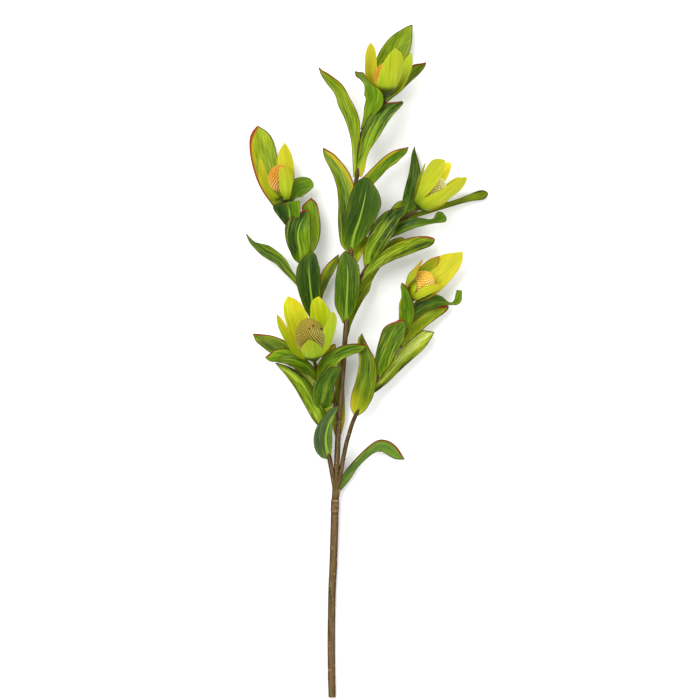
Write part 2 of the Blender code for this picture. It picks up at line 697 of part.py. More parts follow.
def woody_stem(material):
    """Make the bare stem, its swollen fork and the bare feet of the branches."""
    pieces = [
        stretch_of_axis("woody_stem", MAIN_PATH, MAIN_RADII, 0.0, TOP_SHOOT_START,
                        STEM_STEP, STEM_SIDES, (185.0, 188.5, 198.5, 202.0)),
        stretch_of_axis("lower_left_foot", LOWER_LEFT_PATH, LOWER_LEFT_RADII, 208.0,
                        LOWER_LEFT_START, 12.0, TWIG_SIDES),
        stretch_of_axis("lower_right_foot", LOWER_RIGHT_PATH, LOWER_RIGHT_RADII, 212.0,
                        LOWER_RIGHT_START, 14.0, TWIG_SIDES),
        stretch_of_axis("upper_left_foot", UPPER_LEFT_PATH, UPPER_LEFT_RADII, 280.0,
                        UPPER_LEFT_START, 16.0, TWIG_SIDES),
    ]
    dress(fuse("woody_stem", pieces), material, 40.0)


def leafy_shoot(name, path, radii, start, bloom, leaves, material, stubs=()):
    """Make a shoot: its axis up to its bloom, with its leaves fused to it."""
    end = bloom.base[1] - RECEPTACLE_DEPTH * bloom.axes()[0].y
    bend = bloom.base[1] - BLOOM_NECK * bloom.axes()[0].y
    pieces = [stretch_of_axis(name, path, radii, start + JOINT_GAP, end, SHOOT_STEP,
                              TWIG_SIDES, (bend,))]
    pieces += stubs
    for number, leaf in enumerate(leaves):
        root_point = path.point(path.share_at(leaf.root))
        root_radius = blend_table(radii, leaf.root)
        pieces.append(leaf_blade(f"{name}_leaf_{number}", leaf, root_point, root_radius))
    dress(fuse(name, pieces), material, 55.0)


def single_leaf(name, leaf, root_point, material):
    """Make a leaf that stands alone on the bare stem."""
    dress(leaf_blade(name, leaf, root_point, SINGLE_LEAF_FOOT), material, 55.0)


def bloom_solids(place, bloom, radius, bract_material, cone_material):
    """Make a bloom's bracts, joined by their receptacle, and its cone."""
    name = "bracts_" + place
    pieces = [receptacle(name, bloom, radius)]
    for number, bract in enumerate(bloom.bracts):
        pieces.append(bract_blade(f"{name}_{number}", bloom, bract))
    dress(fuse(name, pieces), bract_material, 55.0)
    dress(seed_cone("cone_" + place, bloom), cone_material, 30.0)


def centre_on_box():
    """Move every solid so that the origin is the bottom centre of the box."""
    solids = list(bpy.context.scene.collection.objects)
    corners = [point.co for solid in solids for point in solid.data.vertices]
    low = [min(corner[side] for corner in corners) for side in range(3)]
    high = [max(corner[side] for corner in corners) for side in range(3)]
    shift = Vector(((low[0] + high[0]) / 2, (low[1] + high[1]) / 2, low[2]))
    for solid in solids:
        for point in solid.data.vertices:
            point.co -= shift


def main():
    """Build the whole stem."""
    remove_scene_objects()
    bark = make_material("bark", (0.16, 0.1, 0.055), 0.75)
    leaf_green = make_material("leaf_green", (0.08, 0.18, 0.03), 0.45)
    bract_yellow = make_material("bract_yellow", (0.62, 0.7, 0.05), 0.5)
    cone_gold = make_material("cone_gold", (0.62, 0.3, 0.09), 0.7)
    cone_olive = make_material("cone_olive", (0.33, 0.24, 0.1), 0.7)

    woody_stem(bark)
    stub = stretch_of_axis("side_stub", UPPER_RIGHT_PATH, UPPER_RIGHT_RADII, 389.0,
                           UPPER_RIGHT_START, 8.0, TWIG_SIDES)
    leafy_shoot("shoot_top", MAIN_PATH, MAIN_RADII, TOP_SHOOT_START, BLOOM_TOP,
                TOP_LEAVES, leaf_green, (stub,))
    leafy_shoot("shoot_upper_right", UPPER_RIGHT_PATH, UPPER_RIGHT_RADII, UPPER_RIGHT_START,
                BLOOM_UPPER_RIGHT, UPPER_RIGHT_LEAVES, leaf_green)
    leafy_shoot("shoot_lower_right", LOWER_RIGHT_PATH, LOWER_RIGHT_RADII, LOWER_RIGHT_START,
                BLOOM_LOWER_RIGHT, LOWER_RIGHT_LEAVES, leaf_green)
    leafy_shoot("shoot_lower_left", LOWER_LEFT_PATH, LOWER_LEFT_RADII, LOWER_LEFT_START,
                BLOOM_LOWER_LEFT, LOWER_LEFT_LEAVES, leaf_green)
    leafy_shoot("shoot_upper_left", UPPER_LEFT_PATH, UPPER_LEFT_RADII, UPPER_LEFT_START,
                BLOOM_UPPER_LEFT, UPPER_LEFT_LEAVES, leaf_green)
    single_leaf("leaf_fork", FORK_LEAF, FORK_LEAF_ROOT, leaf_green)
    single_leaf("leaf_behind", BACK_LEAF, BACK_LEAF_ROOT, leaf_green)
    bloom_solids("top", BLOOM_TOP, 2.1, bract_yellow, cone_gold)
    bloom_solids("upper_right", BLOOM_UPPER_RIGHT, 1.8, bract_yellow, cone_gold)
    bloom_solids("lower_right", BLOOM_LOWER_RIGHT, 1.8, bract_yellow, cone_gold)
    bloom_solids("lower_left", BLOOM_LOWER_LEFT, 1.9, bract_yellow, cone_olive)
    bloom_solids("upper_left", BLOOM_UPPER_LEFT, 1.8, bract_yellow, cone_gold)
    centre_on_box()


main()
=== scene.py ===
"""The looks of a cut leucadendron stem with five blooms, lying on a pale floor.

Places are in millimetres from the centre of the stem's cut end, as in the
part's source, and are moved into the row's frame when a mesh is made.
"""

import logging
import math
from collections.abc import Sequence
from dataclasses import dataclass, field
from enum import Enum

import bmesh
import bpy
import numpy as np
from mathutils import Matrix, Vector


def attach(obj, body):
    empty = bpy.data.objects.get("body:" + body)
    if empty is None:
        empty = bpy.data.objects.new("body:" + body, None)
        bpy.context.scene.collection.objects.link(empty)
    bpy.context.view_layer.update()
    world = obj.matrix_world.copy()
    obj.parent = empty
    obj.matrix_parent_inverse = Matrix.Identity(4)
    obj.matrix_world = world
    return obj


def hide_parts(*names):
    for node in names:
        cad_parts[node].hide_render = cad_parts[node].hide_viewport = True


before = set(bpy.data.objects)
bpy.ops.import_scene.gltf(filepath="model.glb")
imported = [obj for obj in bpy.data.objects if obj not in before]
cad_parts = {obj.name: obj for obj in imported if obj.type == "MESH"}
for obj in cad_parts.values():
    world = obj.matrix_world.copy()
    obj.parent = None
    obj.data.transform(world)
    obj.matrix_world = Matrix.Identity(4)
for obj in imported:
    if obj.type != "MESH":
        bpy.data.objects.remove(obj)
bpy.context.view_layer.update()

log = logging.getLogger("leucadendron")

MM = 0.001
CUT_END = np.array((-34.811, -338.393, 0.0))
UP = np.array((0.0, 0.0, 1.0))
BODY = "root"
STUDIO_LIGHT = 1.5
GLARE = 0.012

# What one unit of a blade's or a twig's attribute stands for, in millimetres.
EDGE_SPAN = 16.0
SIDE_SPAN = 40.0
CHART_LENGTH = 100.0
BARK_SPAN = 7.0
STEM_SPAN = 700.0

Point = tuple[float, float, float]
Colour = tuple[float, float, float]
Stops = tuple[tuple[float, Colour], ...]
Edges = tuple[tuple[float, float, float], ...]
Face = tuple[int, ...]
Socket = bpy.types.NodeSocket


class Slot(Enum):
    """The record's material slots."""

    BARK = "bark"
    LEAF = "leaf_green"
    BRACT = "bract_yellow"
    CONE_GOLD = "cone_gold"
    CONE_OLIVE = "cone_olive"


def linear(channel: float) -> float:
    """Turn one channel of a screen colour, from 0 to 1, into linear light."""
    return channel / 12.92 if channel <= 0.04045 else ((channel + 0.055) / 1.055) ** 2.4


def seen(*channels: int) -> Colour:
    """Give the colour of a tissue that looks like a screen colour of 0 to 255 in the studio's light."""
    return tuple(max(linear(channel / 255.0) - GLARE, 0.0) / STUDIO_LIGHT for channel in channels)


def tones(*stops: tuple[float, int, int, int]) -> Stops:
    """Give a row of colours as they look on the screen, each with its place from 0 to 1."""
    return tuple((place, seen(*channels)) for place, *channels in stops)


def unit(vectors: np.ndarray) -> np.ndarray:
    """Scale one vector, or rows of them, to length one."""
    return vectors / np.linalg.norm(vectors, axis=-1, keepdims=True)


class Run:
    """A smooth line through given points, read by share of its length."""

    STEPS = 12
    LOOK_AHEAD = 0.01

    def __init__(self, points: Sequence[Point]) -> None:
        """Fit the line.

        Args:
            points: The points that the line passes through.
        """
        knots = np.array(points, float)
        knots = np.vstack([2 * knots[:1] - knots[1:2], knots, 2 * knots[-1:] - knots[-2:-1]])
        parts = (np.arange(self.STEPS) / self.STEPS)[:, None]
        stretches = [self._stretch(knots[i:i + 4], parts) for i in range(len(knots) - 3)]
        self.points = np.vstack([*stretches, knots[-2:-1]])
        steps = np.linalg.norm(np.diff(self.points, axis=0), axis=1)
        self.lengths = np.concatenate([[0.0], np.cumsum(steps)])

    @staticmethod
    def _stretch(knots: np.ndarray, parts: np.ndarray) -> np.ndarray:
        """Give points between the two middle knots of four.

        Args:
            knots: Four points.
            parts: How far along the middle stretch each wanted point is.

        Returns:
            One point for each part.
        """
        first, second, third, fourth = knots
        return 0.5 * (
            second * 2
            + (third - first) * parts
            + (first * 2 - second * 5 + third * 4 - fourth) * parts ** 2
            + (second * 3 - first - third * 3 + fourth) * parts ** 3
        )

    @property
    def length(self) -> float:
        """Give the line's whole length."""
        return float(self.lengths[-1])

    def at(self, shares: np.ndarray | float) -> np.ndarray:
        """Give points at shares, from 0 to 1, of the line's length."""
        places = np.asarray(shares) * self.length
        return np.stack([np.interp(places, self.lengths, side) for side in self.points.T], axis=-1)

    def ahead(self, shares: np.ndarray | float) -> np.ndarray:
        """Give the direction of growth at shares of the line's length."""
        after, before = np.minimum(shares + self.LOOK_AHEAD, 1), np.maximum(shares - self.LOOK_AHEAD, 0)
        return unit(self.at(after) - self.at(before))

    def share_at(self, along: np.ndarray | float) -> np.ndarray:
        """Give the shares where the line reaches heights along the stem."""
        return np.interp(along, self.points[:, 1], self.lengths) / self.length


# Finishes
class Value:
    """An output in a node tree. Sums on it add Math nodes to the tree."""

    def __init__(self, wiring: "Wiring", socket: Socket) -> None:
        """Note the wiring and the output."""
        self.wiring, self.socket = wiring, socket

    def __add__(self, other: "Value | float") -> "Value":
        """Add a value."""
        return self.wiring.math("ADD", self, other)

    def __sub__(self, other: "Value | float") -> "Value":
        """Take a value away."""
        return self.wiring.math("SUBTRACT", self, other)

    def __rsub__(self, other: float) -> "Value":
        """Take this value away from a number."""
        return self.wiring.math("SUBTRACT", other, self)

    def __mul__(self, other: "Value | float") -> "Value":
        """Multiply by a value."""
        return self.wiring.math("MULTIPLY", self, other)

    def __truediv__(self, other: "Value | float") -> "Value":
        """Divide by a value."""
        return self.wiring.math("DIVIDE", self, other)

    def clamped(self) -> "Value":
        """Keep the sum that gives this value between 0 and 1."""
        self.socket.node.use_clamp = True
        return self

    def ramp(self, low: float, high: float, start: float = 0.0, end: float = 1.0) -> "Value":
        """Carry the value smoothly from the range low to high to the range start to end."""
        return self.wiring.read("ShaderNodeMapRange", {0: self, 1: low, 2: high, 3: start, 4: end},
                                interpolation_type="SMOOTHSTEP")


class Wiring:
    """A short way to lay out nodes in one tree."""

    def __init__(self, tree: bpy.types.NodeTree) -> None:
        """Start with an empty tree."""
        self.tree = tree
        tree.nodes.clear()

    def node(self, kind: str, inputs: dict | None = None, **settings: object) -> bpy.types.Node:
        """Add a node.

        Args:
            kind: The node's type.
            inputs: Values for its inputs, by name or number.
            settings: The node's own settings.

        Returns:
            The node.
        """
        made = self.tree.nodes.new(kind)
        for name, value in settings.items():
            setattr(made, name, value)
        for name, value in (inputs or {}).items():
            self.feed(made.inputs[name], value)
        return made

    def read(self, kind: str, inputs: dict | None = None, output: int | str = 0,
             **settings: object) -> Value:
        """Add a node and give one of its outputs."""
        return Value(self, self.node(kind, inputs, **settings).outputs[output])

    def feed(self, socket: Socket, value: Value | float | Colour) -> None:
        """Give an input a link or a fixed value.

        Args:
            socket: The input.
            value: Another node's output, a number or a colour.
        """
        if isinstance(value, Value):
            self.tree.links.new(value.socket, socket)
        elif isinstance(value, tuple) and socket.type == "RGBA":
            socket.default_value = (*value, 1.0)
        else:
            socket.default_value = value

    def math(self, operation: str, first: Value | float, second: Value | float = 0.0) -> Value:
        """Do one of the Math node's operations on one or two values."""
        return self.read("ShaderNodeMath", {0: first, 1: second}, operation=operation)

    def mix(self, factor: Value | float, first: Value | Colour, second: Value | Colour) -> Value:
        """Mix two colours; the factor says how much of the second shows."""
        return self.read("ShaderNodeMix", {0: factor, 6: first, 7: second}, 2, data_type="RGBA",
                         clamp_factor=True)

    def noise(self, place: Value, scale: float, detail: float = 2.0, roughness: float = 0.5) -> Value:
        """Read a noise pattern, about 0.5 on average, at a place."""
        return self.read("ShaderNodeTexNoise", {
            "Vector": place, "Scale": scale, "Detail": detail, "Roughness": roughness})

    def vector(self, x: Value | float, y: Value | float, z: Value | float) -> Value:
        """Put three values together in a vector."""
        return self.read("ShaderNodeCombineXYZ", {0: x, 1: y, 2: z})

    def parts(self, vector: Value) -> tuple[Value, ...]:
        """Take the three parts of a vector."""
        return tuple(Value(self, part) for part in self.node("ShaderNodeSeparateXYZ", {0: vector}).outputs)

    def palette(self, value: Value, stops: Stops) -> Value:
        """Read a colour from a row of colours.

        Args:
            value: Where along the row, from 0 to 1.
            stops: Each colour and its place.

        Returns:
            The colour.
        """
        node = self.node("ShaderNodeValToRGB", {0: value})
        bar = node.color_ramp.elements
        while len(bar) < len(stops):
            bar.new(0.5)
        for element, (place, _) in zip(bar, stops):
            element.position = place
        for element, (_, colour) in zip(bar, stops):
            element.color = (*colour, 1.0)
        return Value(self, node.outputs[0])

    def attribute(self, name: str) -> tuple[Value, Value, Value, Value]:
        """Read the four parts of one of a piece's attributes.

        Args:
            name: The attribute's name.

        Returns:
            Its four parts.
        """
        found = self.node("ShaderNodeAttribute", attribute_name=name).outputs
        parts = self.node("ShaderNodeSeparateColor", {0: Value(self, found["Color"])}).outputs
        return tuple(Value(self, part) for part in (*parts[:3], found["Alpha"]))


@dataclass(frozen=True)
class Effect:
    """A shader node group that several finishes share."""

    name: str
    inputs: tuple[str, ...]
    outputs: tuple[str, ...]

    def tree(self) -> bpy.types.NodeTree:
        """Give the group's tree, and make it the first time.

        Returns:
            The tree.
        """
        found = bpy.data.node_groups.get(self.name)
        if found:
            return found
        tree = bpy.data.node_groups.new(self.name, "ShaderNodeTree")
        for in_out, names in (("INPUT", self.inputs), ("OUTPUT", self.outputs)):
            for name in names:
                tree.interface.new_socket(name=name, in_out=in_out, socket_type="NodeSocketFloat")
        wiring = Wiring(tree)
        entry = wiring.node("NodeGroupInput").outputs
        results = self.build(wiring, {name: Value(wiring, entry[name]) for name in self.inputs})
        wiring.node("NodeGroupOutput", results)
        return tree

    def build(self, wiring: Wiring, given: dict[str, Value]) -> dict[str, Value]:
        """Lay out the group's nodes between its inputs and its outputs."""
        raise NotImplementedError

    def place(self, wiring: Wiring, *values: Value | float) -> dict[str, Value]:
        """Use the group in a finish, with values in the order of its inputs."""
        node = wiring.node("ShaderNodeGroup", dict(zip(self.inputs, values)), node_tree=self.tree())
        return {name: Value(wiring, node.outputs[name]) for name in self.outputs}


@dataclass(frozen=True)
class Grain(Effect):
    """Streaks that run the length of a blade or a twig."""

    name: str = "lengthwise_grain"
    inputs: tuple[str, ...] = ("Across", "Height", "Along", "Stretch", "Seed")
    outputs: tuple[str, ...] = ("Fine", "Broad", "Cloud", "Line", "Speck")

    SEED_STEP = 61.0

    def build(self, wiring: Wiring, given: dict[str, Value]) -> dict[str, Value]:
        """Read five noises, each stretched along the growth.

        Args:
            wiring: The group's wiring.
            given: The group's inputs by name.

        Returns:
            The group's outputs by name.
        """
        across, length = given["Across"], given["Along"] * given["Stretch"]
        depth = given["Height"] + given["Seed"] * self.SEED_STEP
        place = wiring.vector(across, depth, length)
        return {
            "Speck": wiring.noise(wiring.vector(across, depth + 41.0, length * 1.5), 1.05, 2.0, 0.6),
            "Fine": wiring.noise(place, 0.8, 4.0, 0.65),
            "Broad": wiring.noise(place, 0.42, 3.0),
            "Cloud": wiring.noise(wiring.vector(across, depth, length * 3.5), 0.13, 3.0),
            "Line": wiring.noise(wiring.vector(across, depth + 17.0, length * 0.8), 0.68),
        }


@dataclass(frozen=True)
class SideVeins(Effect):
    """Veins that leave the midrib at a slant and run towards the tip."""

    name: str = "slanting_side_veins"
    inputs: tuple[str, ...] = ("Across", "Along", "Slant", "Spacing", "Waver")
    outputs: tuple[str, ...] = ("Mask",)

    WAVER_LENGTH = 9.0

    def build(self, wiring: Wiring, given: dict[str, Value]) -> dict[str, Value]:
        """Draw slanting lines at both sides of the midrib.

        Args:
            wiring: The group's wiring.
            given: The group's inputs by name.

        Returns:
            The group's outputs by name.
        """
        slanted = given["Along"] - wiring.math("ABSOLUTE", given["Across"]) * given["Slant"]
        turns = (slanted + given["Waver"] * self.WAVER_LENGTH) / given["Spacing"]
        return {"Mask": wiring.math("SINE", turns * math.tau).ramp(0.35, 1.0)}


@dataclass(frozen=True)
class MarginBand(Effect):
    """A band along a blade's margin, with an uneven inner edge."""

    name: str = "margin_band"
    inputs: tuple[str, ...] = ("Distance", "Width", "Unevenness")
    outputs: tuple[str, ...] = ("Mask",)

    LEAST_WIDTH = 0.02

    def build(self, wiring: Wiring, given: dict[str, Value]) -> dict[str, Value]:
        """Fade from the margin inward over the width.

        Args:
            wiring: The group's wiring.
            given: The group's inputs by name.

        Returns:
            The group's outputs by name.
        """
        uneven = given["Unevenness"] * 1.2 + 0.4
        width = wiring.math("MAXIMUM", given["Width"] * uneven, self.LEAST_WIDTH)
        return {"Mask": (given["Distance"] / width).ramp(1.15, 0.45)}


GRAIN = Grain()
SIDE_VEINS = SideVeins()
MARGIN_BAND = MarginBand()


@dataclass(frozen=True)
class Finish:
    """A procedural finish of one kind of tissue."""

    name: str
    slot: Slot

    def material(self) -> bpy.types.Material:
        """Give the finish's material, and make it the first time.

        Returns:
            The material.
        """
        found = bpy.data.materials.get(self.name)
        if found:
            return found
        made = bpy.data.materials.new(self.name)
        made.use_nodes = True
        wiring = Wiring(made.node_tree)
        shader = wiring.node("ShaderNodeBsdfPrincipled")
        surface = Value(wiring, shader.outputs[0])
        wiring.node("ShaderNodeOutputMaterial", {"Surface": surface}, is_active_output=True)
        self.paint(wiring, shader)
        return made

    def paint(self, wiring: Wiring, shader: bpy.types.Node) -> None:
        """Feed the shader."""
        raise NotImplementedError

    @staticmethod
    def dress(wiring: Wiring, shader: bpy.types.Node, colour: Value, roughness: Value,
              relief: Value, depth_mm: float, gloss: float = 0.5) -> None:
        """Feed the shader with a colour, a roughness and a low relief.

        Args:
            wiring: The material's wiring.
            shader: The Principled BSDF.
            colour: The colour of the tissue.
            roughness: Its roughness.
            relief: Its relief, from 0 to 1.
            depth_mm: How deep the relief is.
            gloss: How strongly it shines.
        """
        bump = wiring.read("ShaderNodeBump", {
            "Strength": 1.0, "Distance": depth_mm * MM, "Height": relief})
        for name, value in (("Base Color", colour), ("Roughness", roughness), ("Normal", bump),
                            ("Specular IOR Level", gloss)):
            wiring.feed(shader.inputs[name], value)


@dataclass(frozen=True)
class BladeFinish(Finish):
    """A finish that follows the length of a blade."""

    slant: float = 2.3
    spacing: float = 5.2

    STRETCH = 0.07

    def pattern(self, wiring: Wiring, sideways: Value,
                seed: Value) -> tuple[Value, dict[str, Value], Value]:
        """Lay the grain and the side veins on a blade.

        Args:
            wiring: The material's wiring.
            sideways: The place across the blade, 0.5 on its midrib.
            seed: The blade's own number.

        Returns:
            The distance from the midrib, the grain and the mask of the side veins.
        """
        across = (sideways - 0.5) * SIDE_SPAN
        chart = wiring.read("ShaderNodeUVMap", uv_map="blade")
        length = wiring.parts(chart)[1] * CHART_LENGTH
        grain = GRAIN.place(wiring, across, 0.0, length, self.STRETCH, seed)
        veins = SIDE_VEINS.place(wiring, across, length, self.slant, self.spacing, grain["Cloud"])
        return across, grain, veins["Mask"]


@dataclass(frozen=True)
class LeafFinish(BladeFinish):
    """Leathery leaf: green with a pale midrib, yellow streaks and a red margin."""

    name: str = "leathery_leaf"
    slot: Slot = Slot.LEAF
    fresh: Stops = tones(
        (0.0, 34, 52, 10), (0.15, 60, 88, 16), (0.3, 80, 114, 18), (0.5, 106, 146, 26),
        (0.7, 136, 170, 38), (0.85, 164, 194, 70), (1.0, 206, 222, 124))
    olive: Stops = tones(
        (0.0, 50, 58, 12), (0.15, 82, 96, 16), (0.3, 110, 126, 20), (0.5, 142, 160, 30),
        (0.7, 170, 186, 42), (0.85, 192, 204, 76), (1.0, 220, 228, 134))
    rib: Colour = seen(146, 178, 58)
    line: Colour = seen(206, 212, 84)
    gold: Colour = seen(204, 182, 40)
    red: Colour = seen(152, 44, 38)
    maroon: Colour = seen(74, 44, 26)
    # Painted sheen: a pale grey that stands in for the shine on glossy leaves.
    painted_sheen: Colour = seen(122, 142, 100)
    streaks: tuple[tuple[str, float], ...] = (
        ("Cloud", 0.6), ("Broad", 0.3), ("Fine", 0.65), ("Speck", 0.8), ("Line", 0.6))
    gold_reach: float = 4.6
    red_least: float = 0.32

    def paint(self, wiring: Wiring, shader: bpy.types.Node) -> None:
        """Paint the green, with the painted shading of its halves, painted light on its margins and a grey
        painted sheen, then the foot, the thin lines, the midrib and the margins over it.

        Args:
            wiring: The material's wiring.
            shader: The Principled BSDF.
        """
        edge, sideways, along, rib_strength = wiring.attribute("blade_place")
        tone, red, gold, seed = wiring.attribute("blade_look")
        warmth, streak, painted_margin_light, ripeness = wiring.attribute("blade_mood")
        distance = edge * EDGE_SPAN
        across, grain, veins = self.pattern(wiring, sideways, seed)
        swings = [(grain[name] - 0.5) * weight for name, weight in self.streaks]
        swing = swings[0] + swings[1] + swings[2] + swings[3] + swings[4]
        shade = tone + swing * streak + veins * 0.04 + along.ramp(0.34, 0.0) * 0.2
        # Painted light along the margins; a value below zero paints shade there instead.
        shade = shade + distance.ramp(5.0, 0.0) * painted_margin_light
        cloud = (grain["Cloud"] - 0.5) * 1.2
        warm = (warmth + cloud + distance.ramp(4.0, 0.0) * 0.25).clamped()
        colour = wiring.mix(warm, wiring.palette(shade, self.fresh), wiring.palette(shade, self.olive))
        # Painted sheen: a warmth below zero mixes in the grey shine.
        colour = wiring.mix(warmth.ramp(0.0, -0.5, 0.0, 0.32), colour, self.painted_sheen)
        ripe = (along.ramp(0.42, 0.04) * ripeness).clamped()
        colour = wiring.mix(ripe, colour, self.gold)
        thin = grain["Line"].ramp(0.57, 0.67) * streak * along.ramp(0.95, 0.55, 0.25, 1.0)
        colour = wiring.mix(thin * 0.4, colour, self.line)
        rib_width = along.ramp(0.0, 0.9, 2.0, 0.6)
        rib = (wiring.math("ABSOLUTE", across) / rib_width).ramp(1.0, 0.35)
        rib = rib * along.ramp(0.88, 0.7, 0.05, 1.0) * rib_strength
        colour = wiring.mix(rib, colour, self.rib)
        gold_width = gold * along.ramp(0.1, 0.9, 0.3, 1.0) * self.gold_reach
        band = MARGIN_BAND.place(wiring, distance, gold_width, grain["Broad"])["Mask"]
        colour = wiring.mix(band * grain["Fine"].ramp(0.3, 0.6, 0.55, 0.95), colour, self.gold)
        widening = along.ramp(0.15, 0.95, 0.6, 1.05) + along.ramp(0.8, 1.0, 0.0, 1.2)
        line = MARGIN_BAND.place(wiring, distance, red * widening + self.red_least, grain["Fine"])
        stain = wiring.mix((red * along + cloud).ramp(0.5, 1.35), self.maroon, self.red)
        colour = wiring.mix(line["Mask"] * 0.92, colour, stain)
        self.dress(wiring, shader, colour, grain["Broad"].ramp(0.2, 0.8, 0.36, 0.52),
                   grain["Fine"] * 0.5 + veins * 0.35, 0.2, 0.1)


@dataclass(frozen=True)
class BractFinish(BladeFinish):
    """Waxy bract: yellow to lime, greener at its foot, finely veined."""

    name: str = "waxy_bract"
    slot: Slot = Slot.BRACT
    slant: float = 5.5
    spacing: float = 6.5
    yellow: Colour = seen(234, 222, 56)
    lime: Colour = seen(168, 196, 38)
    foot_green: Colour = seen(112, 142, 28)
    blush: Colour = seen(232, 150, 40)
    crimson: Colour = seen(190, 66, 40)
    # Painted shade: the near-black given to the shaded foot of a bract and to the cup.
    painted_shade: Colour = seen(46, 58, 20)
    leaf_greens: Stops = tones((0.25, 66, 92, 24), (0.5, 100, 132, 34), (0.75, 150, 176, 54))
    translucency: float = 0.12
    depth_of_light: Colour = (1.0, 0.9, 0.2)

    def paint(self, wiring: Wiring, shader: bpy.types.Node) -> None:
        """Paint the yellow, then the veins, the foot, the tip, the painted shade of the foot, the painted
        light gain and the margin over it.

        Args:
            wiring: The material's wiring.
            shader: The Principled BSDF.
        """
        edge, sideways, along, _ = wiring.attribute("blade_place")
        tone, blush, green, seed = wiring.attribute("blade_look")
        painted_light_gain, leafy, shaded, _ = wiring.attribute("blade_mood")
        _, grain, veins = self.pattern(wiring, sideways, seed)
        hue = tone
        for name in ("Broad", "Fine", "Speck"):
            hue = hue + (grain[name] - 0.5) * 0.9
        colour = wiring.mix(hue.clamped(), self.yellow, self.lime)
        colour = wiring.mix(grain["Line"].ramp(0.52, 0.36, 0.0, 0.28), colour, self.foot_green)
        colour = wiring.mix(along.ramp(0.62, 0.0) * green + veins * 0.08, colour, self.foot_green)
        colour = wiring.mix(along.ramp(0.55, 1.0) * blush * 0.75, colour, self.blush)
        colour = wiring.mix(leafy, colour, wiring.palette(grain["Broad"], self.leaf_greens))
        # Painted shade: the shaded share of the foot turns near black.
        colour = wiring.mix((along - shaded).ramp(0.06, -0.06, 0.0, 0.85), colour, self.painted_shade)
        # Painted light: the gain brightens a bract in the bloom's shade, and below 1 darkens it as painted
        # shade.
        colour = wiring.read("ShaderNodeVectorMath", {0: colour, "Scale": painted_light_gain + 1.0},
                             operation="SCALE")
        width = along.ramp(0.4, 1.0, 0.2, 1.3) * blush
        line = MARGIN_BAND.place(wiring, edge * EDGE_SPAN, width, grain["Broad"])["Mask"]
        colour = wiring.mix(line * 0.7, colour, self.crimson)
        self.dress(wiring, shader, colour, grain["Broad"].ramp(0.2, 0.8, 0.42, 0.55),
                   grain["Fine"] * 0.6 + veins * 0.25, 0.14, 0.14)
        shader.inputs["Subsurface Weight"].default_value = self.translucency
        shader.inputs["Subsurface Radius"].default_value = self.depth_of_light
        shader.inputs["Subsurface Scale"].default_value = 1.5 * MM


@dataclass(frozen=True)
class ConeFinish(Finish):
    """Woody cone: each scale is darkened at its foot, as painted shade where the scales overlap, and pale
    at its tip.
    """

    hollow_shade: Colour
    body: Colour
    tip: Colour
    flush: Colour
    # Painted shadow: the near-black inside the cone's pits.
    pit: Colour = seen(24, 20, 16)

    def paint(self, wiring: Wiring, shader: bpy.types.Node) -> None:
        """Paint each scale from the painted shade at its foot to its tip, redder in patches, and the pits
        as painted shadow.

        Args:
            wiring: The material's wiring.
            shader: The Principled BSDF.
        """
        rise, chance, pit, ruddy = wiring.attribute("scale_place")
        place = wiring.read("ShaderNodeTexCoord", output="Object")
        patch = wiring.noise(place, 95.0) + (ruddy - 0.5) * 0.45
        speck = wiring.noise(place, 1500.0, 3.0, 0.6)
        shade = rise + (speck - 0.5) * 0.35 + (chance - 0.5) * 0.45
        # Painted shade: a low rise gives the dark colour of the hollows between scales.
        colour = wiring.palette(shade, ((0.42, self.hollow_shade), (0.7, self.body), (1.0, self.tip)))
        flushed = wiring.palette(shade, ((0.3, self.hollow_shade), (0.52, self.flush), (1.0, self.body)))
        colour = wiring.mix(patch.ramp(0.42, 0.6), colour, flushed)
        # Painted shadow in the pits.
        colour = wiring.mix(pit, colour, self.pit)
        self.dress(wiring, shader, colour, speck.ramp(0.2, 0.8, 0.55, 0.85), speck, 0.15, 0.15)


@dataclass(frozen=True)
class BarkFinish(Finish):
    """Thin bark with lengthwise ridges, red-brown and olive streaks."""

    name: str = "ridged_bark"
    slot: Slot = Slot.BARK
    streaks: Stops = tones((0.0, 40, 31, 20), (0.3, 76, 59, 37), (0.52, 116, 95, 60),
                           (0.75, 146, 122, 82), (1.0, 176, 152, 112))
    rust: Colour = seen(124, 84, 58)
    moss: Colour = seen(104, 96, 46)
    stretch: float = 0.06

    def paint(self, wiring: Wiring, shader: bpy.types.Node) -> None:
        """Paint the ridges, darker on young wood and in the grooves between rings, with painted shade down
        the sides, then the rust and the moss.

        Args:
            wiring: The material's wiring.
            shader: The Principled BSDF.
        """
        right, front, height, youth = wiring.attribute("bark_place")
        x, y = (right - 0.5) * BARK_SPAN, (front - 0.5) * BARK_SPAN
        grain = GRAIN.place(wiring, x, y, height * STEM_SPAN, self.stretch, 0.0)
        shade = grain["Fine"] * 0.75 + grain["Broad"] * 0.5 - (youth * 0.22 + 0.1)
        # Painted shade: the bark darkens down the sides of each twig, away from its top.
        upward = y / wiring.math("SQRT", x * x + y * y)
        shade = shade - upward.ramp(0.92, 0.35, 0.0, 0.3) + (grain["Speck"] - 0.5) * 0.7
        colour = wiring.palette(shade, self.streaks)
        colour = wiring.mix(grain["Broad"].ramp(0.5, 0.72, 0.0, 0.6), colour, self.rust)
        colour = wiring.mix(grain["Cloud"].ramp(0.5, 0.7, 0.0, 0.5), colour, self.moss)
        self.dress(wiring, shader, colour, grain["Fine"].ramp(0.2, 0.8, 0.6, 0.85),
                   grain["Fine"] * 0.5 + grain["Broad"] * 0.5, 0.5, 0.15)


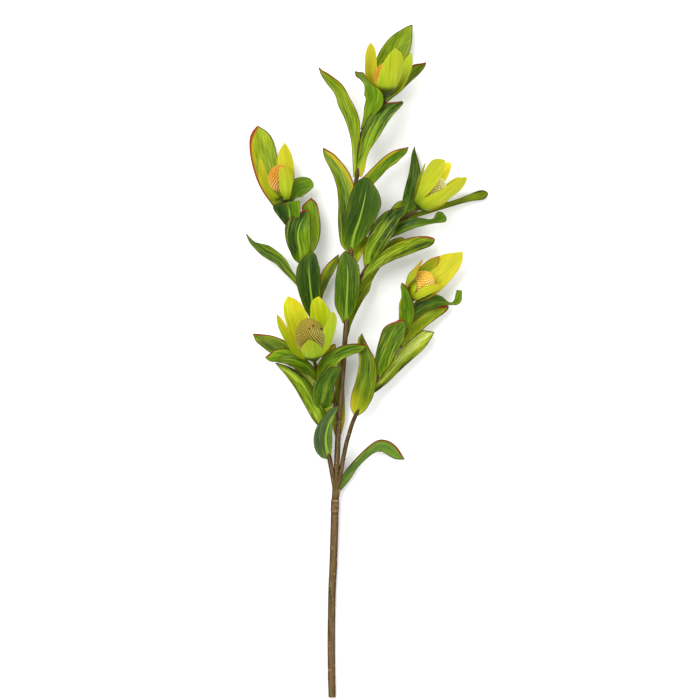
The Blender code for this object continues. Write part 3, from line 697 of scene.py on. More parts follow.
@dataclass(frozen=True)
class CorkFinish(Finish):
    """The pale cork of the pores in the bark."""

    name: str = "pale_cork"
    slot: Slot = Slot.BARK
    dark: Colour = seen(122, 92, 58)
    pale: Colour = seen(184, 156, 112)

    def paint(self, wiring: Wiring, shader: bpy.types.Node) -> None:
        """Paint pale and dark patches.

        Args:
            wiring: The material's wiring.
            shader: The Principled BSDF.
        """
        place = wiring.read("ShaderNodeTexCoord", output="Object")
        speck = wiring.noise(place, 2600.0)
        colour = wiring.mix(wiring.noise(place, 180.0, 3.0).ramp(0.35, 0.65), self.dark, self.pale)
        self.dress(wiring, shader, colour, speck.ramp(0.2, 0.8, 0.7, 0.9), speck, 0.1)


@dataclass(frozen=True)
class PaperFinish(Finish):
    """The plain pale floor."""

    name: str = "pale_paper"
    slot: Slot = Slot.BARK
    white: Colour = (0.93, 0.93, 0.93)

    def paint(self, wiring: Wiring, shader: bpy.types.Node) -> None:
        """Paint it white, with a fine tooth in its roughness.

        Args:
            wiring: The material's wiring.
            shader: The Principled BSDF.
        """
        tooth = wiring.noise(wiring.read("ShaderNodeTexCoord", output="Object"), 900.0)
        wiring.feed(shader.inputs["Base Color"], self.white)
        wiring.feed(shader.inputs["Roughness"], tooth.ramp(0.2, 0.8, 0.8, 0.95))


LEAF_FINISH = LeafFinish()
BRACT_FINISH = BractFinish()
BARK_FINISH = BarkFinish()
CORK_FINISH = CorkFinish()
# The gold and the pale cones take direct albedos, brighter than seen() gives, as painted light on cones
# that sit in their bloom's shade.
GOLD_CONE = ConeFinish("gold_cone", Slot.CONE_GOLD, (0.52, 0.26, 0.03), (0.82, 0.52, 0.05),
                       (0.94, 0.72, 0.24), (0.8, 0.42, 0.05))
AMBER_CONE = ConeFinish("amber_cone", Slot.CONE_GOLD, seen(196, 112, 34), seen(238, 176, 66),
                        seen(252, 218, 136), seen(230, 148, 56))
PALE_CONE = ConeFinish("pale_cone", Slot.CONE_GOLD, (0.6, 0.46, 0.12), (0.88, 0.86, 0.36),
                       (1.0, 1.0, 0.72), (0.92, 0.8, 0.26))
OLIVE_CONE = ConeFinish("olive_cone", Slot.CONE_OLIVE, seen(124, 112, 42), seen(174, 166, 56),
                        seen(206, 194, 108), seen(214, 140, 92))


# Meshes
def show(name: str, mesh: bpy.types.Mesh) -> bpy.types.Object:
    """Put a mesh in the scene as an object, and report it.

    Args:
        name: The object's name.
        mesh: Its mesh, in the row's frame.

    Returns:
        The object.
    """
    made = bpy.data.objects.new(name, mesh)
    bpy.context.scene.collection.objects.link(made)
    log.info("%s: %d faces", name, len(mesh.polygons))
    return made


def turn_out(mesh: bpy.types.Mesh) -> None:
    """Turn all faces of closed shells outwards, and shade them smooth.

    Args:
        mesh: The mesh of the shells.
    """
    solid = bmesh.new()
    solid.from_mesh(mesh)
    bmesh.ops.recalc_face_normals(solid, faces=solid.faces)
    solid.to_mesh(mesh)
    solid.free()
    mesh.shade_smooth()


@dataclass
class Shell:
    """Closed meshes gathered into one piece, with their attributes."""

    points: list[np.ndarray] = field(default_factory=list)
    faces: list[Face] = field(default_factory=list)
    values: dict[str, list[np.ndarray]] = field(default_factory=dict)
    charts: list[np.ndarray] = field(default_factory=list)
    count: int = 0

    SHARP_ANGLE = math.radians(50.0)

    def add(self, points: np.ndarray, faces: list[Face], values: dict[str, np.ndarray],
            chart: np.ndarray | None = None) -> None:
        """Add a closed mesh.

        Args:
            points: Its points in millimetres from the cut end.
            faces: Its faces, as numbers of its own points.
            values: Four-part attributes of its points, by name.
            chart: Its points' places in the UV map.
        """
        self.faces += [tuple(corner + self.count for corner in face) for face in faces]
        self.points.append(points)
        for name, rows in values.items():
            self.values.setdefault(name, []).append(rows)
        if chart is not None:
            self.charts.append(chart)
        self.count += len(points)

    def piece(self, name: str, finish: Finish, *nodes: str) -> bpy.types.Object:
        """Make the gathered meshes one piece, and fasten it to the part.

        Args:
            name: The piece's name.
            finish: Its finish.
            nodes: The CAD nodes that it stands for.

        Returns:
            The piece, in the row's frame.
        """
        mesh = bpy.data.meshes.new(name)
        points = (np.vstack(self.points) + CUT_END) * MM
        mesh.from_pydata([tuple(point) for point in points], [], self.faces)
        for key, rows in self.values.items():
            layer = mesh.attributes.new(key, "FLOAT_COLOR", "POINT")
            layer.data.foreach_set("color", np.vstack(rows).astype(np.float32).ravel())
        if self.charts:
            corners = np.zeros(len(mesh.loops), np.int32)
            mesh.loops.foreach_get("vertex_index", corners)
            chart = np.vstack(self.charts)[corners].astype(np.float32)
            mesh.uv_layers.new(name="blade").data.foreach_set("uv", chart.ravel())
        turn_out(mesh)
        mesh.set_sharp_from_angle(angle=self.SHARP_ANGLE)
        mesh.materials.append(finish.material())
        made = show(name, mesh)
        settle(made, finish.slot, *nodes)
        return made


def settle(piece: bpy.types.Object, slot: Slot, *nodes: str) -> None:
    """Fasten a finished piece to the part.

    Args:
        piece: The piece.
        slot: The record's slot that its finish is for; not used.
        nodes: The CAD nodes that it stands for.
    """
    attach(piece, BODY)
    if nodes:
        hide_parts(*nodes)


def sheet_faces(rows: int, columns: int) -> list[Face]:
    """Give the faces that close two matching grids of points into a blade.

    Args:
        rows: How many rows each grid has.
        columns: How many points a row has.

    Returns:
        The faces; the second grid's points follow the first's.
    """
    count = rows * columns
    faces: list[Face] = []
    for row in range(rows - 1):
        for column in range(columns - 1):
            here = row * columns + column
            ahead = here + columns
            faces.append((here, here + 1, ahead + 1, ahead))
            faces.append((count + here, count + ahead, count + ahead + 1, count + here + 1))
    rim = [row * columns for row in range(rows)]
    rim += [(rows - 1) * columns + column for column in range(1, columns)]
    rim += [row * columns + columns - 1 for row in range(rows - 2, -1, -1)]
    rim += list(range(columns - 2, 0, -1))
    for here, after in zip(rim, rim[1:] + rim[:1]):
        faces.append((here, after, count + after, count + here))
    return faces


def tube_faces(rings: int, sides: int) -> list[Face]:
    """Give the faces of a tube with closed ends.

    Args:
        rings: How many rings of points it has.
        sides: How many points a ring has.

    Returns:
        The faces.
    """
    faces: list[Face] = []
    for ring in range(rings - 1):
        for side in range(sides):
            here = ring * sides + side
            beside = ring * sides + (side + 1) % sides
            faces.append((here, beside, beside + sides, here + sides))
    last = (rings - 1) * sides
    return [*faces, tuple(range(sides - 1, -1, -1)), tuple(range(last, last + sides))]


@dataclass(frozen=True)
class Look:
    """How one leaf is coloured.

    It has a tone from dark to pale, the red of its left and right margins and
    the gold inside them, the strength of its midrib, its hue from fresh green
    to olive, its streaks, the painted light on its margins, which is painted
    shade below zero, the painted shading that makes its left and right halves
    darker or lighter than its tone, how its tip differs from its foot, and
    how yellow the left and right of its foot are. A warmth below zero mixes in
    a grey painted sheen.
    """

    tone: float = 0.3
    red: tuple[float, float] = (0.5, 0.5)
    gold: tuple[float, float] = (0.0, 0.0)
    rib: float = 0.3
    warmth: float = 0.5
    streak: float = 0.5
    # Painted light on the margins; below zero it is painted shade.
    painted_margin_light: float = 0.08
    # Painted shading of the left and right halves of the folded blade.
    painted_half_shade: tuple[float, float] = (0.0, 0.0)
    slope: float = 0.0
    ripeness: tuple[float, float] = (0.0, 0.0)


@dataclass(frozen=True)
class BractLook:
    """How one bract is coloured.

    Its hue goes from yellow to lime, and the slope makes the right edge
    greener. The blush of its left and right halves is strongest at the tip,
    the green at the foot, and the shaded share of the foot is painted nearly
    black as shade. A leafy bract is green all over. Above 1, the painted light
    gain brightens a bract that stands in the bloom's own shade, as painted
    light; below 1 it darkens a bract as painted shade.
    """

    hue: float = 0.4
    blush: tuple[float, float] = (0.1, 0.1)
    foot: float = 0.6
    painted_light_gain: float = 1.0
    leafy: float = 0.0
    slope: float = 0.0
    shaded: float = 0.12


class Blade:
    """The grid of points that leaves and bracts share."""

    ROWS = 34
    COLUMNS = 17
    CROWDING = 1.35
    LEAST_WIDTH = 0.25
    TIP_MARGIN = 0.2
    THINNING = 0.6
    FLUTTER = 0.35

    def grid(self) -> tuple[np.ndarray, np.ndarray]:
        """Give the grid's places, closer together towards the tip and the margins.

        Returns:
            The rows' shares of the length, and the columns' places from -1 to 1.
        """
        shares = 1.0 - (1.0 - np.linspace(0.0, 1.0, self.ROWS)) ** self.CROWDING
        across = np.linspace(-1.0, 1.0, self.COLUMNS)
        return shares, np.sign(across) * np.abs(across) ** 0.85

    def drawn(self, edges: Edges, shares: np.ndarray) -> list[np.ndarray]:
        """Carry the given edges smoothly along the blade.

        Args:
            edges: Hundredths of the length, with the widths left and right of the middle there.
            shares: Shares of the blade's length.

        Returns:
            The widths to the left and to the right at the shares.
        """
        places, *sides = Run(edges).points.T
        return [np.maximum(np.interp(shares * 100.0, places, side), self.LEAST_WIDTH)
                for side in sides]

    def close(self, shell: Shell, faces: tuple[np.ndarray, np.ndarray], reach: np.ndarray,
              length: float, looks: tuple[np.ndarray, ...], ribs: tuple[float, float]) -> None:
        """Add the blade to a piece.

        Args:
            shell: The piece that it joins.
            faces: The points of its two faces.
            reach: The width of the half on which each point is.
            length: The blade's length.
            looks: The look and the mood of its points, for both faces.
            ribs: The strength of the midrib on each face.
        """
        shares, across = self.grid()
        gap = (1 - shares)[:, None] * length + self.TIP_MARGIN
        margin = np.minimum(reach * (1 - np.abs(across)), gap)
        along = np.broadcast_to(shares[:, None], margin.shape)
        places = [np.stack([margin / EDGE_SPAN, reach * across / SIDE_SPAN + 0.5, along,
                            np.full_like(margin, rib)], axis=-1).reshape(-1, 4) for rib in ribs]
        chart = np.stack([np.broadcast_to((across + 1) / 2, margin.shape),
                          along * length / CHART_LENGTH], axis=-1).reshape(-1, 2)
        shell.add(np.vstack([points.reshape(-1, 3) for points in faces]),
                  sheet_faces(self.ROWS, self.COLUMNS),
                  {"blade_place": np.vstack(places), "blade_look": looks[0], "blade_mood": looks[1]},
                  np.vstack([chart, chart]))


@dataclass(frozen=True)
class Leaf(Blade):
    """One leaf: where it is rooted, the run of its midrib and its blade.

    Sides are left and right as seen from above, looking towards the tip. A
    leaf without listed edges has a plain outline of its width.
    """

    root: float
    points: tuple[Point, ...]
    roll: float = 0.0
    cup: float = 0.16
    wave: float = 0.8
    width: float = 0.0
    shoulder: float = 0.55
    edges: Edges = ()
    look: Look = Look()

    BASE = 0.28
    TIP = 0.03
    THICKNESS = 0.75
    GROOVE = 0.3
    GROOVE_WIDTH = 0.9
    BACK_DARKENING = 0.08

    def outline(self, shares: np.ndarray) -> np.ndarray:
        """Give the half width as a share of the greatest.

        Args:
            shares: Shares of the leaf's length.

        Returns:
            One value for each share.
        """
        swell = np.sin(np.pi / 2 * np.minimum(shares / self.shoulder, 1.0))
        part = np.clip((shares - self.shoulder) / (1 - self.shoulder), 0.0, 1.0)
        rising = self.BASE + (1 - self.BASE) * swell
        falling = self.TIP + (1 - self.TIP) * (1 - part ** 2) ** 0.5
        return np.where(shares < self.shoulder, rising, falling)

    def widths(self, shares: np.ndarray, across: np.ndarray, root_radius: float) -> np.ndarray:
        """Give the width of the half on which each point of the grid is.

        Args:
            shares: Shares of the leaf's length.
            across: Places from -1 at the left margin to 1 at the right.
            root_radius: The radius of the axis that the leaf grows from.

        Returns:
            One width for each point.
        """
        if self.edges:
            level = np.maximum(np.cos(np.radians(self.roll)), 0.45)
            left, right = self.drawn(self.edges, shares)
            return np.where(across < 0, left[:, None], right[:, None]) / level
        half = self.width / 2 * self.outline(shares)
        neck = root_radius * 0.9 + (half - root_radius * 0.9) * np.clip(shares / 0.1, 0, 1)
        half = np.where(shares < 0.1, np.minimum(half, neck), half)
        return np.repeat(half[:, None], self.COLUMNS, axis=1)

    def grow(self, shell: Shell, root: np.ndarray, root_radius: float, seed: float) -> None:
        """Add the leaf's blade to a piece.

        Args:
            shell: The piece that it joins.
            root: The point on its axis that it grows from.
            root_radius: The axis's radius there.
            seed: A number of its own for its pattern.
        """
        run = Run((tuple(root), *self.points))
        shares, across = self.grid()
        ahead = run.ahead(shares)
        right = unit(np.cross(ahead, UP))
        top = np.cross(right, ahead)
        roll = np.radians(self.roll)
        side = right * np.cos(roll) + top * np.sin(roll)
        face = top * np.cos(roll) - right * np.sin(roll)
        reach = self.widths(shares, across, root_radius)
        offset = reach * across
        sway = np.sin(math.tau * (1.4 * shares + seed * 7.0))[:, None] * across ** 3
        flutter = np.sin(math.tau * (3.7 * shares[:, None] + seed * 13.0 + 0.31 * (across > 0)))
        ripple = self.wave * self.outline(shares)[:, None] * (
            sway + self.FLUTTER * flutter * np.abs(across) ** 3)
        rise = self.cup * reach * across ** 2 + ripple
        middle = (run.at(shares)[:, None] + side[:, None] * offset[..., None]
                  + face[:, None] * rise[..., None])
        fading = (1 - shares)[:, None] ** 0.5
        groove = self.GROOVE * np.exp(-(offset / self.GROOVE_WIDTH) ** 2) * fading
        thick = self.THICKNESS * (1 - self.THINNING * across ** 2) * (0.55 + 0.45 * fading)
        upper = middle + face[:, None] * (thick / 2 - groove)[..., None]
        lower = middle - face[:, None] * (thick / 2 + groove * 1.6)[..., None]
        looks = [self._look(shares, across, darkening, seed)
                 for darkening in (0.0, self.BACK_DARKENING)]
        mood = np.stack([*(np.full_like(across, value) for value in (
            self.look.warmth, self.look.streak, self.look.painted_margin_light)),
            np.where(across < 0, *self.look.ripeness)], axis=-1)
        self.close(shell, (upper, lower), reach, run.length,
                   (np.vstack(looks), np.tile(mood, (2 * self.ROWS, 1))),
                   (self.look.rib, self.look.rib * 0.5))

    def _look(self, shares: np.ndarray, across: np.ndarray, darkening: float,
              seed: float) -> np.ndarray:
        """Give the look of the points of one face.

        Args:
            shares: Shares of the leaf's length.
            across: Places across the blade.
            darkening: What is added to the tone of the face.
            seed: The leaf's own number.

        Returns:
            Four values for each point.
        """
        left = across < 0
        # Painted shading: one half of the folded blade is made darker or lighter than the other, as light
        # falls on it.
        half = np.where(left, *self.look.painted_half_shade) * np.clip((np.abs(across) - 0.05) * 3, 0, 1)
        tone = self.look.tone + darkening + half + self.look.slope * (shares[:, None] - 0.5)
        rest = [np.where(left, *self.look.red), np.where(left, *self.look.gold), seed]
        return np.stack([tone, *(np.broadcast_to(part, tone.shape) for part in rest)],
                        axis=-1).reshape(-1, 4)


@dataclass(frozen=True)
class Bract(Blade):
    """A bract set round its bloom: 0 faces up, 90 lies to the right.

    A bract without listed edges has a plain outline of its width.
    """

    around: float
    height: float
    reach: float
    layer: float = 0.0
    look: BractLook = BractLook()
    edges: Edges = ()
    bulge: float = 7.0
    lean: float = 0.0
    rise: float = 0.0
    twist: float = 0.0
    width: float = 0.0

    ROWS = 30
    THICKNESS = 0.85
    KEEL = 0.25
    KEEL_WIDTH = 1.4
    PLAIN = ((0, 0.5), (12, 0.68), (30, 0.9), (50, 1.0), (70, 0.96), (83, 0.8), (92, 0.55),
             (97, 0.32), (100, 0.04))

    def line(self, cone_radius: float, shares: np.ndarray) -> np.ndarray:
        """Give the bract's distance from the bloom's axis and its height.

        Args:
            cone_radius: The radius of the cone that it wraps.
            shares: Shares of the bract's length.

        Returns:
            The distances and the heights.
        """
        knots = np.array((
            (4.2 + self.layer * 0.2, -1.6),
            (cone_radius + self.bulge + self.layer, -0.5 + self.rise),
            (cone_radius * 0.45 + self.reach * 0.55 + self.bulge * 0.71 + self.layer,
             self.height * 0.52),
            (self.reach + self.layer * 0.5, self.height),
        ))
        rest = 1 - shares
        weights = np.stack([rest ** 3, 3 * rest ** 2 * shares, 3 * rest * shares ** 2, shares ** 3])
        return (weights[..., None] * knots[:, None]).sum(axis=0).T

    def grow(self, shell: Shell, bloom: "Bloom", seed: float) -> None:
        """Add the bract's blade to a piece.

        Args:
            shell: The piece that it joins.
            bloom: The bloom that it belongs to.
            seed: A number of its own for its pattern.
        """
        axis, front, right = bloom.axes()
        turn = math.radians(self.around)
        outward = front * math.cos(turn) + right * math.sin(turn)
        turned = turn + math.radians(self.twist)
        facing = front * math.cos(turned) + right * math.sin(turned)
        sideways = right * math.cos(turned) - front * math.sin(turned)
        shares, across = self.grid()
        distance, height = self.line(bloom.cone_radius, shares)
        bend = (distance * (1.0 + 0.9 * shares))[:, None]
        edges = self.edges or [(place, part * self.width / 2, part * self.width / 2)
                               for place, part in self.PLAIN]
        left_width, right_width = self.drawn(edges, shares)
        reach = np.where(across < 0, left_width[:, None], right_width[:, None])
        angle = reach * across / bend
        sweep = bend * np.sin(angle) + self.lean * shares[:, None] ** 2
        flutter = np.sin(math.tau * (2.3 * shares[:, None] + seed * 13.0)) * across ** 3
        depth = self.FLUTTER * flutter - bend * (1 - np.cos(angle))
        normal = facing * np.cos(angle)[..., None] + sideways * np.sin(angle)[..., None]
        middle = (np.array(bloom.base) + axis * height[:, None, None]
                  + outward * distance[:, None, None] + facing * depth[..., None]
                  + sideways * sweep[..., None])
        fading = (1 - shares)[:, None] ** 0.5
        thick = self.THICKNESS * (1 - self.THINNING * across ** 2) * (0.5 + 0.5 * fading)
        keel = self.KEEL * np.exp(-(reach * across / self.KEEL_WIDTH) ** 2) * fading
        inner = middle - normal * (thick / 2 - keel)[..., None]
        outer = middle + normal * (thick / 2 + keel)[..., None]
        length = float(np.hypot(np.diff(distance), np.diff(height)).sum())
        row = np.stack([self.look.hue + self.look.slope * across,
                        np.where(across < 0, *self.look.blush),
                        np.full_like(across, self.look.foot), np.full_like(across, seed)], axis=-1)
        # The first part is the painted light gain.
        mood = (self.look.painted_light_gain - 1.0, self.look.leafy, self.look.shaded, 1.0)
        self.close(shell, (inner, outer), reach, length,
                   (np.tile(row, (2 * self.ROWS, 1)), np.tile(mood, (2 * reach.size, 1))),
                   (1.0, 1.0))


class GrowthTree(Wiring):
    """A Geometry Nodes tree with named inputs that gives plain meshes."""

    NAME = "growth"
    SIZES: tuple[str, ...] = ()
    COUNTS: tuple[str, ...] = ()

    def __init__(self) -> None:
        """Lay out the tree."""
        super().__init__(bpy.data.node_groups.new(self.NAME, "GeometryNodeTree"))
        sockets = [("Geometry", "INPUT", "Geometry"), *((name, "INPUT", "Float") for name in self.SIZES),
                   *((name, "INPUT", "Int") for name in self.COUNTS), ("Finish", "INPUT", "Material"),
                   ("Geometry", "OUTPUT", "Geometry")]
        for name, in_out, kind in sockets:
            self.tree.interface.new_socket(name=name, in_out=in_out, socket_type="NodeSocket" + kind)
        self.entry = {out.name: Value(self, out) for out in self.node("NodeGroupInput").outputs}
        finished = self.read("GeometryNodeSetMaterial", {
            "Geometry": self.shape(), "Material": self.entry["Finish"]})
        self.node("NodeGroupOutput", {0: finished})

    def shape(self) -> Value:
        """Add the nodes between the input and the finish."""
        raise NotImplementedError

    def moved(self, geometry: Value, x: Value, y: Value, z: Value) -> Value:
        """Move a geometry's points to places of their own."""
        return self.read("GeometryNodeSetPosition", {
            "Geometry": geometry, "Position": self.vector(x, y, z)})

    def stored(self, geometry: Value, name: str, value: Value | Point, kind: str) -> Value:
        """Keep a value of a geometry's points as an attribute of one kind."""
        return self.read("GeometryNodeStoreNamedAttribute", {
            "Geometry": geometry, "Name": name, "Value": value}, data_type=kind, domain="POINT")

    def ball(self, segments: int, rings: int, radius: float) -> tuple[Value, ...]:
        """Make a ball.

        Args:
            segments: How many faces go round it.
            rings: How many faces go from pole to pole.
            radius: Its radius.

        Returns:
            The ball, and the three parts of its points' places.
        """
        spot = self.read("GeometryNodeInputPosition")
        return (self.read("GeometryNodeMeshUVSphere", {
            "Segments": segments, "Rings": rings, "Radius": radius}), *self.parts(spot))

    def tilt(self, outward: Value, ahead: Point) -> Value:
        """Give the turn that makes Z look outward and Y ahead."""
        return self.read("FunctionNodeAxesToRotation", {0: outward, 1: ahead},
                         primary_axis="Z", secondary_axis="Y")

    def planted(self, points: Value, instance: Value, **inputs: Value) -> Value:
        """Set copies of a shape on points, and make them real.

        Args:
            points: The points.
            instance: The shape.
            inputs: How each copy is turned and sized.

        Returns:
            The copies.
        """
        placed = self.read("GeometryNodeInstanceOnPoints", {
            "Points": points, "Instance": instance, **inputs})
        return self.read("GeometryNodeRealizeInstances", {"Geometry": placed})

    def grow(self, name: str, inputs: dict[str, float | int | bpy.types.Material],
             ground: bpy.types.Mesh | None = None) -> bpy.types.Mesh:
        """Run the tree once and give its result as a plain mesh.

        Args:
            name: The mesh's name.
            inputs: The tree's inputs by name.
            ground: The mesh that it grows on, if it needs one.

        Returns:
            The mesh.
        """
        start = ground.copy() if ground else bpy.data.meshes.new(name)
        carrier = bpy.data.objects.new(name, start)
        bpy.context.scene.collection.objects.link(carrier)
        modifier = carrier.modifiers.new("growth", "NODES")
        modifier.node_group = self.tree
        for item in self.tree.interface.items_tree:
            if item.in_out == "INPUT" and item.name in inputs:
                modifier[item.identifier] = inputs[item.name]
        graph = bpy.context.evaluated_depsgraph_get()
        mesh = bpy.data.meshes.new_from_object(carrier.evaluated_get(graph))
        carrier.modifiers.clear()
        bpy.data.objects.remove(carrier, do_unlink=True)
        bpy.data.meshes.remove(start)
        return mesh


class LenticelTree(GrowthTree):
    """The tree that scatters small raised pores over bark."""

    NAME = "bark_with_lenticels"
    SIZES = ("Density", "Length", "Width", "Depth")
    COUNTS = ("Seed",)

    def shape(self) -> Value:
        """Scatter the pores over all but the underside.

        Returns:
            The pores.
        """
        entry = self.entry
        upward = self.parts(self.read("GeometryNodeInputNormal"))[2]
        spots = self.node("GeometryNodeDistributePointsOnFaces", {
            "Mesh": entry["Geometry"], "Selection": self.math("GREATER_THAN", upward, -0.1),
            "Density": entry["Density"], "Seed": entry["Seed"]}).outputs
        ball, x, y, z = self.ball(8, 5, 0.5)
        pore = self.moved(ball, x * entry["Width"], y * entry["Length"], z * entry["Depth"])
        lot = self.read("FunctionNodeRandomValue", {"Seed": entry["Seed"]}, 1, data_type="FLOAT")
        size = lot * 0.7 + 0.6
        tilt = self.tilt(Value(self, spots["Normal"]), (0.0, 1.0, 0.0))
        return self.planted(Value(self, spots["Points"]), pore, Rotation=tilt,
                            Scale=self.vector(size, size, size))


class ConeTree(GrowthTree):
    """The tree that covers a cone with scales in a spiral."""

    NAME = "cone_with_scales"
    SIZES = ("Radius", "Length", "Scale Length", "Scale Width", "Scale Depth")
    COUNTS = ("Scales", "Seed")
    GOLDEN_TURN = math.pi * (3 - math.sqrt(5))
    SCALE_POINTS = 34.0

    def shape(self) -> Value:
        """Join the core and the scales.

        Returns:
            The cone.
        """
        both = self.node("GeometryNodeJoinGeometry")
        for part in (self._core(), self._scales()):
            self.feed(both.inputs[0], part)
        return Value(self, both.outputs[0])

    def _core(self) -> Value:
        """Make the core that shows between the scales, which takes the painted shade of the hollows.

        Returns:
            The core.
        """
        ball, x, y, z = self.ball(36, 24, 1.0)
        thin = self.entry["Radius"] * 0.985
        core = self.moved(ball, x * thin, y * thin, (z + 1.0) * (self.entry["Length"] * 0.5))
        # A rise of 0 paints the core with the hollows' painted shade.
        return self.stored(core, "scale_place", (0.0, 0.5, 0.0), "FLOAT_COLOR")

    def _scale(self) -> Value:
        """Make one scale, a flat drop that is raised at its tip.

        Returns:
            The scale.
        """
        entry = self.entry
        ball, x, y, z = self.ball(8, 5, 0.5)
        rise = y + 0.5
        waist = 1.15 - rise * rise * 0.85
        scale = self.moved(ball, x * waist * entry["Scale Width"], y * entry["Scale Length"],
                           (z + rise * 0.5) * entry["Scale Depth"])
        # The rise, 0 at the foot, later paints the foot with painted shade.
        return self.stored(scale, "scale_rise", rise, "FLOAT")

    def _radius_at(self, share: Value) -> Value:
        """Give the cone's radius at a share of its height."""
        bulge = self.math("SQRT", share * (1.0 - share) * 4.0)
        return bulge * (1.06 - share * 0.12) * self.entry["Radius"]

    def _scales(self) -> Value:
        """Set the scales in a spiral, and give each a number of its own by lot.

        Returns:
            The scales.
        """
        entry = self.entry
        line = self.read("GeometryNodeMeshLine", {"Count": entry["Scales"]}, mode="OFFSET")
        index = self.read("GeometryNodeInputIndex")
        share = (index + 0.5) / entry["Scales"] * 0.975 + 0.022
        turn = index * self.GOLDEN_TURN
        cosine, sine = self.math("COSINE", turn), self.math("SINE", turn)
        radius, climb = self._radius_at(share), share * entry["Length"]
        spots = self.moved(line, radius * cosine, radius * sine, climb)
        half = entry["Length"] * 0.5
        slope = (climb - half) / (half * half / entry["Radius"])
        lean = radius / entry["Radius"]
        tilt = self.tilt(self.vector(cosine * lean, sine * lean, slope), (0.0, 0.0, 1.0))
        scales = self.planted(spots, self._scale(), Rotation=tilt)
        number = self.math("FLOOR", self.read("GeometryNodeInputIndex") / self.SCALE_POINTS)
        lot = self.read("FunctionNodeRandomValue", {"ID": number, "Seed": entry["Seed"]}, 1,
                        data_type="FLOAT")
        rise = self.read("GeometryNodeInputNamedAttribute", {"Name": "scale_rise"}, data_type="FLOAT")
        return self.stored(scales, "scale_place", self.vector(rise, lot, 0.0), "FLOAT_COLOR")


